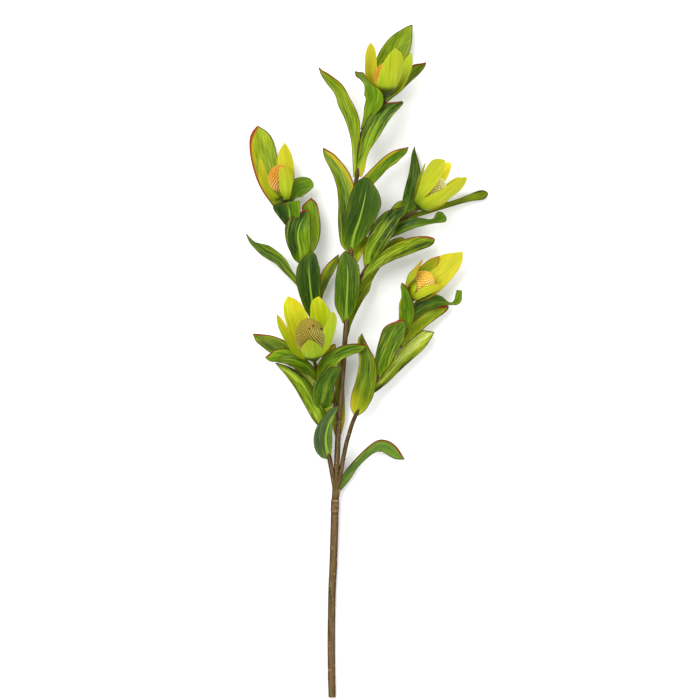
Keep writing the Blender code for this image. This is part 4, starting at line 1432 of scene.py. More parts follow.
@dataclass(frozen=True)
class Bloom:
    """A bloom: where it sits, which way it looks, its cone and its bracts."""

    place: str
    base: Point
    heading: float
    lift: float
    cone_radius: float
    cone_length: float
    scales: int
    scale_size: float
    bracts: tuple[Bract, ...]
    cone_finish: ConeFinish = GOLD_CONE
    stalk_radius: float = 1.8
    cone_shift: Point = (0.0, 0.0, 0.0)
    cone_slim: float = 1.0
    pits: tuple[tuple[float, float], ...] = ()

    NECK = 13.0
    CUP_DEPTH = 6.0
    CUP_TOP = 1.4
    CUP_RADIUS = 5.6
    CUP_SIDES = 20
    GAP = 0.3
    PIT_RADIUS = 1.0
    SCALE_STRETCH = 1.9
    SCALE_DEPTH = 0.9
    SEED_STEP = 0.137
    SUNNY_SIDE = np.array((-0.6, 0.8))

    def axes(self) -> tuple[np.ndarray, np.ndarray, np.ndarray]:
        """Give the bloom's axis, its upper side and its right side.

        Returns:
            Three unit vectors.
        """
        turn, lift = math.radians(self.heading), math.radians(self.lift)
        axis = np.array((math.sin(turn) * math.cos(lift), math.cos(turn) * math.cos(lift),
                         math.sin(lift)))
        front = unit(UP - axis * float(UP @ axis))
        return axis, front, np.cross(axis, front)

    def neck(self) -> list[Point]:
        """Give the three points where the stalk runs square into the bloom."""
        base, axis = np.array(self.base), self.axes()[0]
        return [tuple(base - axis * back) for back in (self.NECK, self.NECK / 2, 0.0)]

    def build(self, tree: ConeTree) -> None:
        """Make the bracts with their receptacle, and the cone.

        Args:
            tree: The tree that grows cones.
        """
        shell = Shell()
        self._receptacle(shell)
        for number, bract in enumerate(self.bracts):
            bract.grow(shell, self, self.SEED_STEP * number + 0.01 * self.heading % 1.0)
        shell.piece("petals_" + self.place, BRACT_FINISH, "bracts_" + self.place)
        self._cone(tree)

    def _receptacle(self, shell: Shell) -> None:
        """Add the small cup that holds the bracts on the end of the shoot, painted mostly with the bracts'
        painted shade.

        Args:
            shell: The piece that it joins.
        """
        axis, front, right = self.axes()
        foot, radius = self.GAP - self.CUP_DEPTH, self.CUP_RADIUS
        rings = ((foot, self.stalk_radius), (foot * 0.72, radius * 0.55), (foot * 0.42, radius * 0.86),
                 (self.CUP_TOP * 0.2, radius), (self.CUP_TOP, radius * 0.8))
        turns = np.linspace(0, 2 * np.pi, self.CUP_SIDES, endpoint=False)[:, None]
        spokes = front * np.cos(turns) + right * np.sin(turns)
        points = np.vstack([np.array(self.base) + axis * height + spokes * width
                            for height, width in rings])
        # Its mood darkens most of the cup with the bracts' painted shade.
        green = {"blade_place": (0.5, 0.5, 0.1, 0.0), "blade_look": (0.9, 0.0, 1.0, 0.3),
                 "blade_mood": (0.0, 1.0, 0.3, 1.0)}
        shell.add(points, tube_faces(len(rings), self.CUP_SIDES),
                  {name: np.tile(row, (len(points), 1)) for name, row in green.items()},
                  np.zeros((len(points), 2)))

    def _cone(self, tree: ConeTree) -> None:
        """Make the cone and set it in the bloom.

        Args:
            tree: The tree that grows cones.
        """
        mesh = tree.grow("cone", {
            "Radius": self.cone_radius * self.cone_slim, "Length": self.cone_length * 0.96,
            "Scales": self.scales, "Scale Length": self.scale_size * self.SCALE_STRETCH,
            "Scale Width": self.scale_size, "Scale Depth": self.SCALE_DEPTH, "Seed": 7,
            "Finish": self.cone_finish.material()})
        axis, front, right = self.axes()
        points = np.zeros(len(mesh.vertices) * 3)
        mesh.vertices.foreach_get("co", points)
        base = np.array(self.base) + axis * (self.CUP_TOP + self.GAP)
        points = base + points.reshape(-1, 3) @ np.stack([front, right, axis]) + self.cone_shift
        self._weather(mesh, points)
        mesh.vertices.foreach_set("co", ((points + CUT_END) * MM).ravel())
        mesh.update()
        turn_out(mesh)
        settle(show("seedhead_" + self.place, mesh), self.cone_finish.slot, "cone_" + self.place)

    def _weather(self, mesh: bpy.types.Mesh, points: np.ndarray) -> None:
        """Mark the scales round the bloom's pits for their painted shadow, and the side that the sun
        reddened.

        Args:
            mesh: The cone's mesh.
            points: Its points in stem coordinates.
        """
        marks = mesh.attributes["scale_place"].data
        values = np.zeros(len(marks) * 4)
        marks.foreach_get("color", values)
        values = values.reshape(-1, 4)
        middle = float(np.median(points[:, 2]))
        for pit in self.pits:
            near = np.hypot(*(points[:, :2] - pit).T) < self.PIT_RADIUS
            values[near & (points[:, 2] > middle), 2] = 1.0
        sunward = (points - points.mean(axis=0))[:, :2] @ self.SUNNY_SIDE / self.cone_radius
        values[:, 3] = np.clip(0.5 + 0.5 * sunward, 0.0, 1.0)
        marks.foreach_set("color", values.ravel())


@dataclass(frozen=True)
class Twig:
    """A stretch of woody axis between two heights along the stem."""

    run: Run
    radii: tuple[tuple[float, float], ...]
    start: float
    end: float
    youth: float
    sides: int = 24
    step: float = 2.4

    GROOVE_WINDOW = 7.0
    FLOOR_GAP = 0.02
    RIDGES = ((5, 0.021, 0.0, 0.5), (9, -0.034, 1.3, 0.3), (2, 0.05, 0.0, 0.35))

    def radius(self, along: np.ndarray | float) -> np.ndarray:
        """Give the radius at heights along the stem."""
        return np.interp(along, *zip(*self.radii))

    def root(self, along: float) -> tuple[np.ndarray, float]:
        """Give the point and the radius of the axis at a height."""
        return self.run.at(self.run.share_at(along)), float(self.radius(along))

    def grow(self, shell: Shell) -> None:
        """Add the stretch to a piece, with shallow ridges along its bark.

        Args:
            shell: The piece that it joins.
        """
        count = max(4, int((self.end - self.start) / self.step))
        along = np.linspace(self.start, self.end, count)
        shares = self.run.share_at(along)
        centre, ahead = self.run.at(shares), self.run.ahead(shares)
        right = unit(np.cross(ahead, UP))
        top = np.cross(right, ahead)
        turns = 2 * np.pi * (np.arange(self.sides) + 0.5) / self.sides - np.pi / 2
        ridges = sum(np.sin(number * turns + along[:, None] * drift + start) * height
                     for number, drift, start, height in self.RIDGES)
        girth = self.radius(along)
        window = max(3, int(self.GROOVE_WINDOW / self.step)) | 1
        padded = np.pad(girth, window // 2, mode="edge")
        groove = np.convolve(padded, np.full(window, 1.0 / window), "valid") - girth
        radius = girth[:, None] * (0.985 + 0.022 * ridges)
        spokes = right[:, None] * np.cos(turns)[:, None] + top[:, None] * np.sin(turns)[:, None]
        points = centre[:, None] + spokes * radius[..., None]
        points[..., 2] = np.maximum(points[..., 2], self.FLOOR_GAP)
        # The fourth part is the youth plus the grooves, so the bark darkens where it dips between rings.
        place = np.stack([np.broadcast_to(part, radius.shape) for part in (
            np.cos(turns) * radius / BARK_SPAN + 0.5, np.sin(turns) * radius / BARK_SPAN + 0.5,
            along[:, None] / STEM_SPAN, (self.youth + 7.0 * groove)[:, None])], axis=-1)
        shell.add(points.reshape(-1, 3), tube_faces(count, self.sides),
                  {"bark_place": place.reshape(-1, 4)})


@dataclass(frozen=True)
class Shoot:
    """A leafy shoot: its woody axis and the leaves along it."""

    place: str
    twigs: tuple[Twig, ...]
    leaves: tuple[Leaf, ...]

    SEED_STEP = 0.173

    def build(self) -> None:
        """Make the axis and the leaves, which together stand for the shoot."""
        node = "shoot_" + self.place
        wood, blades = Shell(), Shell()
        for twig in self.twigs:
            twig.grow(wood)
        wood.piece("twig_" + self.place, BARK_FINISH, node)
        for number, leaf in enumerate(self.leaves):
            root, radius = self.twigs[0].root(leaf.root)
            seed = (self.SEED_STEP * number + 0.61 * len(self.place)) % 1.0
            leaf.grow(blades, root, radius, seed)
        blades.piece("leaves_" + self.place, LEAF_FINISH, node)


@dataclass(frozen=True)
class WoodyStem:
    """The bare stem, its swollen fork and the bare feet of the branches."""

    twigs: tuple[Twig, ...]
    pore_density: float = 14000.0
    pore_size: Point = (0.9, 1.9, 0.6)

    def build(self) -> None:
        """Make the stem with its lenticels."""
        shell = Shell()
        for twig in self.twigs:
            twig.grow(shell)
        wood = shell.piece("bare_wood", BARK_FINISH, "woody_stem")
        width, length, depth = self.pore_size
        pores = LenticelTree().grow("lenticels", {
            "Density": self.pore_density, "Length": length * MM, "Width": width * MM,
            "Depth": depth * MM, "Seed": 5, "Finish": CORK_FINISH.material()}, wood.data)
        pores.shade_smooth()
        settle(show("lenticels", pores), CORK_FINISH.slot, "woody_stem")


@dataclass(frozen=True)
class LoneLeaf:
    """A leaf that stands alone on the bare stem."""

    node: str
    leaf: Leaf
    root: Point
    seed: float

    FOOT = 2.4

    def build(self) -> None:
        """Make the leaf."""
        shell = Shell()
        self.leaf.grow(shell, np.array(self.root), self.FOOT, self.seed)
        shell.piece("blade_" + self.node, LEAF_FINISH, self.node)


@dataclass(frozen=True)
class Studio:
    """The pale floor, the soft light and the camera over the stem."""

    eye: tuple[float, float] = (-16.8, 11.6)
    plane_height: float = 35.0
    frame_width: float = 700.0
    lens: float = 200.0
    sensor: float = 36.0
    floor_size: float = 20.0
    surround: float = 0.9
    lamps: tuple[tuple[str, Point, float, float], ...] = (
        ("key", (-0.8, 0.8, 1.8), 1.3, 42.0), ("fill", (1.2, -0.4, 1.9), 1.4, 14.0))

    def build(self) -> None:
        """Set up the studio."""
        self._floor()
        self._lights()
        self._camera()

    def _floor(self) -> None:
        """Make the floor."""
        size = self.floor_size
        mesh = bpy.data.meshes.new("floor")
        mesh.from_pydata([(-size, -size, 0.0), (size, -size, 0.0), (size, size, 0.0),
                          (-size, size, 0.0)], [], [(0, 1, 2, 3)])
        mesh.materials.append(PaperFinish().material())
        show("floor", mesh)

    def _lights(self) -> None:
        """Hang two soft lamps, which the camera doesn't see, in a bright surround."""
        world = bpy.data.worlds.new("surround")
        world.use_nodes = True
        sky = world.node_tree.nodes["Background"].inputs
        sky[0].default_value, sky[1].default_value = (1.0, 1.0, 1.0, 1.0), self.surround
        bpy.context.scene.world = world
        for name, place, size, power in self.lamps:
            lamp = bpy.data.lights.new(name, "AREA")
            lamp.size, lamp.energy = size, power
            thing = bpy.data.objects.new(name, lamp)
            thing.location = place
            thing.rotation_euler = (-Vector(place)).to_track_quat("-Z", "Y").to_euler()
            thing.visible_camera = False
            bpy.context.scene.collection.objects.link(thing)

    def _camera(self) -> None:
        """Set the camera straight above the stem."""
        camera = bpy.data.cameras.new("camera")
        camera.lens, camera.sensor_width = self.lens, self.sensor
        distance = self.frame_width * self.lens / self.sensor
        thing = bpy.data.objects.new("camera", camera)
        thing.location = [part * MM for part in (*self.eye, distance + self.plane_height)]
        scene = bpy.context.scene
        scene.collection.objects.link(thing)
        scene.camera = thing
        scene.view_settings.view_transform = "Standard"
        scene.view_settings.look = "None"


# The stem's own shapes, in millimetres from the cut end
REST_HEIGHT = 3.4 * math.cos(math.pi / 12)
RISE = (78.0, 540.0, 36.0)


def axis_height(along: float) -> float:
    """Give the height above the floor of the main stem's axis.

    Args:
        along: The height along the stem.

    Returns:
        The height above the floor.
    """
    start, end, height = RISE
    part = min(1.0, max(0.0, (along - start) / (end - start)))
    return REST_HEIGHT + height * part * part * (3 - 2 * part)


BLOOM_TOP = Bloom(
    place="top", base=(52, 606, 44), heading=3, lift=14, cone_radius=11.5, cone_length=30,
    cone_finish=AMBER_CONE, scales=330, scale_size=2.4, stalk_radius=2.1, cone_slim=0.93,
    cone_shift=(0.6, 0, 0),
    bracts=(
        Bract(28, 48.6, 17, 1.2, BractLook(0.78, foot=0.9, shaded=0.36), ((0, 4, 2), (15, 11, 3),
            (35, 15.4, 6.4), (57, 15, 11.6), (75, 12.4, 12.8), (90, 7, 9.4), (95.5, 4.2, 5.8),
            (100, 0.6, 0.6)), 3),
        Bract(240, 48.8, 18, 1.2, BractLook(0.34, (0.12, 0.16), 0.7, 1.5), ((0, 6, 2), (30, 11, 5.4),
            (60, 13, 11), (80, 11.5, 10.4), (90, 8.4, 7.5), (96, 4.6, 4.4), (100, 0.6, 0.6))),
        Bract(116, 40, 27.5, 0, BractLook(0.9, foot=0.4, painted_light_gain=1.3), width=22),
        Bract(180, 29, 13, 0, BractLook(0.5), width=18),
        Bract(340, 10, 11, 0.6, BractLook(leafy=1, painted_light_gain=0.6), bulge=-5, width=11),
        Bract(40, 11, 11.5, 0.8, BractLook(leafy=1, painted_light_gain=0.6), bulge=-5, width=11),
    ))
BLOOM_UPPER_RIGHT = Bloom(
    place="upper_right", base=(88.6, 495, 29), heading=42, lift=12, cone_radius=9.5, cone_length=29,
    cone_finish=PALE_CONE, scales=300, scale_size=2.2, cone_shift=(3, 3.4, 4),
    bracts=(
        Bract(330, 53.8, 22, 1.2, BractLook(0.58, foot=1, painted_light_gain=0.92), ((0, 2.5, 4), (20, 3, 5.4),
            (40, 5, 6.3), (50, 7.2, 7.4), (64, 11.6, 8.6), (78.5, 14.5, 8.6), (87.5, 13.3, 6.5),
            (94.5, 7.6, 2.6), (100, 0.6, 0.5)), 5),
        Bract(46, 54.6, 23, 0, BractLook(0.55, foot=0.9, painted_light_gain=1.1), ((0, 6, 4), (20, 11, 4),
            (40, 13.5, 4.6), (60, 12, 6.6), (76, 10, 7.3), (90, 7.4, 5), (96, 5.4, 2.4), (100, 2.6, 0.6)),
            5),
        Bract(200, 49.6, 19, 0, BractLook(0.12, (0.14, 0.14), 0.4, 1.35), width=19),
        Bract(250, 33.6, 25.6, 1.2, BractLook(0.9, (0, 0), 0.8, 1.4, 0.3), bulge=0, width=9),
        Bract(140, 46, 17, 1.2, BractLook(0.4, (0, 0), 0.4, 1.3), width=18),
        Bract(335, 10, 11, 0.6, BractLook(leafy=1, painted_light_gain=0.55), bulge=-4, width=12),
        Bract(50, 12, 12, 0.8, BractLook(leafy=1, painted_light_gain=0.6), bulge=-4, width=13),
    ))
BLOOM_LOWER_RIGHT = Bloom(
    place="lower_right", base=(81, 404, 29), heading=45, lift=12, cone_radius=11.6, cone_length=29,
    cone_shift=(-2.4, 1.4, -2.6), scales=400, scale_size=2.2,
    bracts=(
        Bract(164, 65, 16, 0, BractLook(0.25, (0.1, 0.1), 0.6, 0.97), ((0, 6, 6), (30, 11, 11),
            (50, 13, 14), (65, 12.6, 15.6), (77, 11.2, 14.6), (86.2, 9.4, 10.4), (94, 6.2, 4.8),
            (98, 1.8, 1.9), (100, 0.6, 0.5)), lean=0.5),
        Bract(30, 31, 15, 1.2, BractLook(0.6, (0.3, 0.1), 0.7), ((0, 4, 1), (25, 6.5, 0.6), (40, 7.5, 0.6),
            (70, 9.5, 1.2), (90, 6.5, 2.4), (96, 5, 2), (100, 2.8, 1)), -1, lean=7),
        Bract(295, 34.5, 19.8, 1.2, BractLook(0.75, (0.1, 0.9), 0.5, 1.05, leafy=0.25), ((0, 3, 3),
            (20, 4, 6), (49, 6, 8), (70, 2.8, 11), (87, 1.6, 6), (95, 1, 2.6), (100, 0.4, 0.5)), 5),
        Bract(214, 45, 17, 0, BractLook(0.9, (0.9, 0.9), 1, 1.4, 0.7), ((0, 6, 6), (30, 10, 7),
            (55, 10, 7.5), (72, 9, 7.4), (87, 6, 5.2), (94, 3.5, 3), (100, 0.5, 0.5))),
        Bract(318, 15, 12.5, 0.6, BractLook(0.8, (0, 0), 0.5, 1.1, 0.2), bulge=-3, width=13),
    ))
BLOOM_LOWER_LEFT = Bloom(
    place="lower_left", base=(-18, 343, 39), heading=-8, lift=40, cone_radius=14.6, cone_length=42,
    cone_finish=OLIVE_CONE, scales=640, scale_size=2.2, stalk_radius=1.9, cone_shift=(-1.4, 4, 2),
    cone_slim=0.97, pits=((-22, 371), (-18.4, 373.9), (-10.9, 370.8)),
    bracts=(
        Bract(214, 61, 31, 0, BractLook(0.42, (0.3, 0), 0.5, 1.5), ((0, 7, 6), (30, 13, 7.6), (50, 16, 8.8),
            (70, 15.4, 9.7), (84, 12, 9.3), (94, 5.8, 6.2), (97.5, 2.6, 3), (100, 0.6, 0.6))),
        Bract(152, 55, 29, 0, BractLook(0.72, foot=0.4, painted_light_gain=1.38), ((0, 7, 7), (30, 12, 11),
            (60, 12.6, 11.6), (80, 11.2, 10.4), (90, 6.8, 9), (96, 3.6, 5.6), (100, 0.6, 1))),
        Bract(96, 53, 25, 1.2, BractLook(0.85, foot=0.3, painted_light_gain=1.3), ((0, 6, 3.6), (30, 9, 5.6),
            (50, 10, 6.6), (70, 10.2, 7.9), (85, 7.2, 7.8), (95, 4.2, 4.8), (100, 1.4, 1.2)), 0, lean=-2.5,
            twist=-60),
        Bract(250, 51, 32, 1.2, BractLook(0.65, (0.5, 0), 0.5, 1.5, slope=0.5), bulge=3.5, width=16.6),
        Bract(355, 38, 17, 1.2, BractLook(1, foot=0.9, painted_light_gain=0.98, shaded=0.39), ((0, 3, 3), (20, 6, 6),
            (40, 9, 9), (60, 10.6, 10.6), (77, 10, 9.6), (88, 6.2, 6.8), (95, 3.2, 3.8), (100, 0.6, 0.6)),
            -1.5, rise=6),
    ))
BLOOM_UPPER_LEFT = Bloom(
    place="upper_left", base=(-48, 502, 33), heading=-6, lift=12, cone_radius=12, cone_length=27,
    cone_finish=AMBER_CONE, cone_shift=(-1.6, 5.4, 1), scales=330, scale_size=2.4,
    bracts=(
        Bract(160, 52.6, 19, 0, BractLook(0.35, (0.1, 0.1), 0.6, 0.96), ((0, 5, 5), (30, 6.8, 9),
            (50, 7.2, 10.6), (70, 7.2, 10.8), (82, 6.2, 9.2), (92, 4, 6), (100, 0.5, 0.6))),
        Bract(14, 34.4, 13.5, 1.2, BractLook(0.85, (0.1, 0.3), 0.8, 0.97), ((0, 2.5, 2.5), (30, 3.6, 4.4),
            (50, 5.6, 6.6), (70, 5.2, 10), (85, 3.6, 12), (95, 1.9, 9.6), (100, 0.6, 2)), 4, lean=-4),
        Bract(240, 40, 22, 1.2, BractLook(0.5, (0.1, 0.1), 0.8, 1.5), width=17),
    ))

MAIN_RUN = Run([(x, y, axis_height(y)) for x, y in (
    (0, 0), (-0.6, 26), (-0.9, 52), (-0.7, RISE[0]), (0, 110), (1, 130), (2.3, 170), (2.8, 190), (3.5, 210),
    (5, 240), (6, 265), (7.5, 290), (10.5, 325), (13, 360), (16, 400), (18.5, 440), (20, 480), (22, 505),
    (26, 530), (28, 555), (35, 578)
)] + BLOOM_TOP.neck())
LOWER_LEFT_RUN = Run([(3.4, 207, 11), (-0.5, 230, 15), (-4, 250, 18), (-7.5, 275, 21.5), (-12, 300, 24.5),
    (-15.5, 319, 26.5)] + BLOOM_LOWER_LEFT.neck())
LOWER_RIGHT_RUN = Run([(4.5, 211, 11.5), (8.5, 226, 13.5), (12, 245, 16), (16, 262, 18.5), (24.5, 286, 21),
    (46, 323, 24.5), (68, 355, 26), (74.5, 383, 27)] + BLOOM_LOWER_RIGHT.neck())
UPPER_LEFT_RUN = Run([(7.5, 279, 19.4), (3, 296, 18.5), (-1, 315, 18), (-8, 345, 18), (-16, 375, 19),
    (-26, 408, 22), (-31, 438, 25), (-41, 478, 29.5)] + BLOOM_UPPER_LEFT.neck())
UPPER_RIGHT_RUN = Run([(15, 388, 31.5), (22, 403, 31), (30, 425, 29.5), (52, 458, 27.5),
    (74, 484, 27)] + BLOOM_UPPER_RIGHT.neck())
STUB_RUN = Run([(5.2, 200.5, 8.5), (6, 205, 9.6), (6.4, 210.6, 11)])

MAIN_RADII = ((0, 3.75), (78, 3.8), (150, 3.9), (184, 4), (186.2, 3.8), (187.6, 4.35), (190, 4.3),
    (192, 4.1), (194.5, 4.3), (197, 4.1), (198.8, 4.35), (200.4, 3.6), (206, 3.6), (225, 3), (400, 2.5),
    (540, 2.1), (606, 2.1))
LOWER_LEFT_RADII = ((207, 2.6), (340, 1.9))
LOWER_RIGHT_RADII = ((211, 2.5), (240, 2.2), (400, 1.8))
STUB_RADII = ((200, 1.6), (206, 2), (209.2, 2), (210.4, 1.1))
UPPER_LEFT_RADII = ((279, 2), (500, 1.8))
UPPER_RIGHT_RADII = ((388, 2), (490, 1.8))

TOP_LEAVES = (
    Leaf(588, ((44, 606, 22), (58, 637, 13), (70.6, 663.6, 10), (80.8, 677.6, 9)), 4,
        edges=((0, 1.5, 1.5), (25, 7, 7), (45, 13, 12), (60, 14.7, 13.5), (70, 13.6, 13.5), (80, 11, 12.2),
         (90, 5.6, 8.2), (96, 3, 3.6), (100, 0.5, 0.5)),
        look=Look(0.42, (0.5, 0.6), rib=0.15, warmth=0.6, streak=0.7)),
    Leaf(582, ((52, 598, 29), (68, 611.5, 22), (81, 628, 20), (94.4, 638.5, 23)), -30,
        edges=((0, 1.5, 1.5), (20, 5, 2), (50, 6, 2.1), (60, 6.6, 2.5), (70, 7, 3.6), (80, 7, 4.4),
         (88, 5.6, 4.1), (95, 2.2, 2.7), (100, 0.3, 0.3)),
        look=Look(0.28, (1.2, 0.4), (0, 0.2), 0.6, 0.5, 0.8)),
    Leaf(570, ((37, 589, 51), (42.5, 602, 59.5), (38, 615.5, 63), (23.5, 627, 60)), 10, 0.1, 0.4,
        edges=((0, 3, 3), (20, 3.6, 6.4), (40, 6.6, 10), (50, 9.6, 10.4), (60, 10, 7.4), (70, 8.2, 1.8),
         (78, 6, 0.4), (85, 4.6, 1.8), (90, 4, 3.6), (95, 4, 1.6), (100, 1.4, 0.3)),
        look=Look(0.38, (0.8, 0.9), warmth=0.05)),
    Leaf(524, ((31, 542, 44), (41, 568, 50), (53.5, 588, 52), (70, 598, 51)), 8, 0.1,
        edges=((0, 2.8, 5), (10, 3.6, 5.6), (20, 5.2, 4), (30, 7, 3.8), (40, 9, 6), (50, 10.5, 8),
         (65, 10.5, 9), (80, 7.4, 8.5), (90, 3.2, 6.4), (96, 1.2, 4.4), (100, 0.3, 2.4)),
        look=Look(0.37, (1, 0.2), rib=0.6, warmth=0.25, streak=1, painted_half_shade=(-0.1, 0.02), slope=-0.3,
         ripeness=(0, 0.6))),
    Leaf(523, ((23.5, 550, 37), (20, 581, 35), (9, 609, 31), (-2, 622, 28), (-13.3, 633.5, 25)), 30, 0.2,
        edges=((0, 3, 2.5), (20, 3.2, 4.6), (30, 3.6, 6.2), (40, 5.2, 8), (50, 6.8, 8), (58, 7.6, 6.8),
         (64, 7.6, 5.4), (70, 6.1, 5), (80, 5.8, 4.3), (90, 4.5, 2.6), (95, 3.2, 0.8), (100, 0.5, 0.3)),
        look=Look(0.4, (0.5, 1.1), (0.1, 0.4), warmth=0.6, streak=0.8, slope=-0.15)),
    Leaf(447, ((15.5, 475, 31), (15, 500, 29), (10, 521, 27), (2.5, 536, 25), (-8.8, 552.6, 22)), 6,
        edges=((0, 2.5, 2), (4, 6, 4), (10, 9, 6), (30, 9.4, 8), (50, 8.6, 9.8), (60, 7.4, 10),
         (70, 6.9, 9.1), (80, 6.2, 7.5), (90, 5.1, 5.5), (95, 3.6, 3.3), (100, 0.8, 0.8)),
        look=Look(0.37, (0.6, 1), (0.3, 1.5), 0.3, 0.4, 0.8, painted_half_shade=(-0.08, 0.18))),
    Leaf(508, ((37.5, 520.5, 40), (50, 536, 41), (62, 546, 41), (76.3, 552.7, 39)), -30, 0.2,
        edges=((0, 1.5, 1.5), (10, 5.4, 3.4), (30, 6.6, 5.6), (50, 5.2, 7), (70, 3.5, 7.8), (80, 2.7, 7.1),
         (90, 1.4, 5.3), (96, 0.6, 3.2), (100, 0.3, 0.4)),
        look=Look(0.35, (1.2, 0.3), (1.7, 0.1), 0.1, 0.15, 0.6, painted_half_shade=(0.3, 0))),
    Leaf(448, ((22, 464.4, 43), (28, 482, 48), (33, 503, 50), (35, 521.7, 48)), -4, 0.1,
        edges=((0, 1.5, 1.5), (5, 5, 3), (10, 8, 5.5), (20, 11.3, 9.8), (30, 13.8, 12.4), (40, 15, 13.8),
         (55, 15.2, 16), (70, 15, 17.2), (80, 14.2, 14.2), (90, 11.5, 8.5), (95, 8.5, 5.5),
         (98.5, 5.5, 1.5), (100, 2, 0.3)),
        look=Look(0.12, (0.4, 0.6), rib=0.95, warmth=0.05, streak=0.28, painted_half_shade=(0, 0.05))),
    Leaf(428, ((22, 440, 31), (28, 452, 27), (34, 464, 24)), 10, width=11,
        look=Look(0.55, (0.4, 0.4), (0.6, 0.6), warmth=0.9)),
    Leaf(377, ((14.5, 395, 39), (15.5, 413, 44), (15.5, 432, 45), (13, 448.6, 43)), 0, 0.1,
        edges=((0, 3.8, 1.2), (5, 4.8, 2.4), (10, 6.2, 4.7), (20, 9.8, 8.2), (30, 12, 10.8),
         (45, 12.6, 12.2), (60, 12.3, 12.4), (70, 11.6, 12.1), (80, 10.2, 11.2), (90, 7.8, 7.2),
         (95, 5.6, 4.4), (100, 1, 1)),
        look=Look(0.17, (0.3, 0.6), rib=0.95, warmth=0.1, streak=0.35, painted_half_shade=(0.05, 0))),
    Leaf(359, ((16, 382, 23), (23, 401, 20), (32, 417, 18), (49, 435, 16)), 5,
        edges=((0, 1.5, 1.8), (10, 1.5, 3.3), (20, 1.8, 4.7), (30, 3, 6.2), (50, 6, 7.8), (60, 7, 8.6),
         (66, 7, 9.2), (72, 6.5, 8), (80, 5, 4.9), (90, 3, 2.4), (100, 0.5, 0.5)),
        look=Look(0.36, (0.3, 0.3), (0.2, 0), warmth=0.65, streak=0.9, painted_half_shade=(0, -0.08))),
)
UPPER_RIGHT_LEAVES = (
    Leaf(477, ((76, 498, 18), (80.2, 517, 10), (83, 535, 8), (83.2, 555, 9)), 8,
        edges=((0, 1.5, 1.5), (20, 5, 9.4), (40, 6.2, 10.2), (60, 5.1, 8.4), (70, 4.7, 6.8), (80, 4.2, 4.4),
         (90, 3.3, 1.9), (96, 1.8, 0.6), (100, 0.3, 0.3)),
        look=Look(0.17, (0.2, 0.7), rib=0.2, warmth=0.1)),
    Leaf(478, ((86, 485, 20), (103, 490.5, 16), (120, 496.5, 12.5), (137, 502.5, 8), (157, 508.4, 0.93)),
         20, 0.14, 0.3,
        edges=((0, 1.5, 1.2), (20, 3, 1.4), (40, 3.5, 1.5), (50, 3.6, 1.8), (60, 3.1, 2.4), (70, 3, 3),
         (80, 3.6, 3.8), (87, 4.4, 5), (93, 4.6, 5.4), (98, 2.9, 2.9), (100, 0.8, 0.8)),
        look=Look(0.28, (0.6, 0.6), warmth=0.8, streak=0.7)),
    Leaf(462, ((78, 472.5, 32), (92, 475.5, 33), (103, 478, 30), (113.8, 484.6, 22)), 20, wave=0.3,
        edges=((0, 3.5, 1.5), (20, 8.6, 2), (40, 8.8, 2.4), (50, 8, 1.9), (60, 6.4, 1.3), (68, 4.4, 0.7),
         (75, 4, 0.9), (80, 4.3, 2), (87, 6.4, 4.6), (92, 7.2, 5.2), (97, 6.3, 3.4), (100, 3.4, 0.8)),
        look=Look(0.2, (0.3, 0.3), warmth=0.15, slope=0.25)),
    Leaf(433, ((39, 450, 34.5), (48, 464, 39), (59, 479, 41), (72.4, 493.4, 39)), 6, 0.1,
        edges=((0, 2.4, 2.4), (10, 4.9, 5), (20, 6.4, 8), (30, 8, 10), (40, 9.8, 11), (50, 11.6, 11),
         (60, 12, 10), (70, 11.3, 8.4), (80, 9.3, 6.4), (90, 4.9, 4.2), (95, 2.4, 3), (100, 0.4, 0.4)),
        look=Look(0.2, (0.6, 0.1), rib=0.8, warmth=0.35, streak=1, painted_half_shade=(0.04, -0.06), slope=-0.15)),
    Leaf(416, ((40.5, 432, 30), (56.5, 444.5, 31), (74, 453.5, 31), (90, 459, 29), (103, 461, 27)), -10,
        edges=((0, 1.8, 1.5), (10, 3.5, 2.5), (20, 5, 3.2), (35, 6.6, 4.9), (50, 7.8, 6.7), (60, 8.2, 8),
         (70, 7.6, 8.4), (80, 6.4, 8.2), (90, 4.4, 7.2), (95, 3.1, 5.8), (98.5, 1.6, 3.4), (100, 0.4, 0.6)),
        look=Look(0.38, (1.2, 0.5), warmth=0.6, streak=1.2, painted_half_shade=(0.05, -0.16))),
    Leaf(468, ((62, 479, 22), (66, 489, 19), (72, 499.5, 18)), width=15,
        look=Look(0.45)),
    Leaf(444, ((57, 454, 24), (65, 459, 22), (72, 462, 21)), width=8,
        look=Look(0.55, (0.3, 0.3), (0.3, 0.3), warmth=0.8)),
)
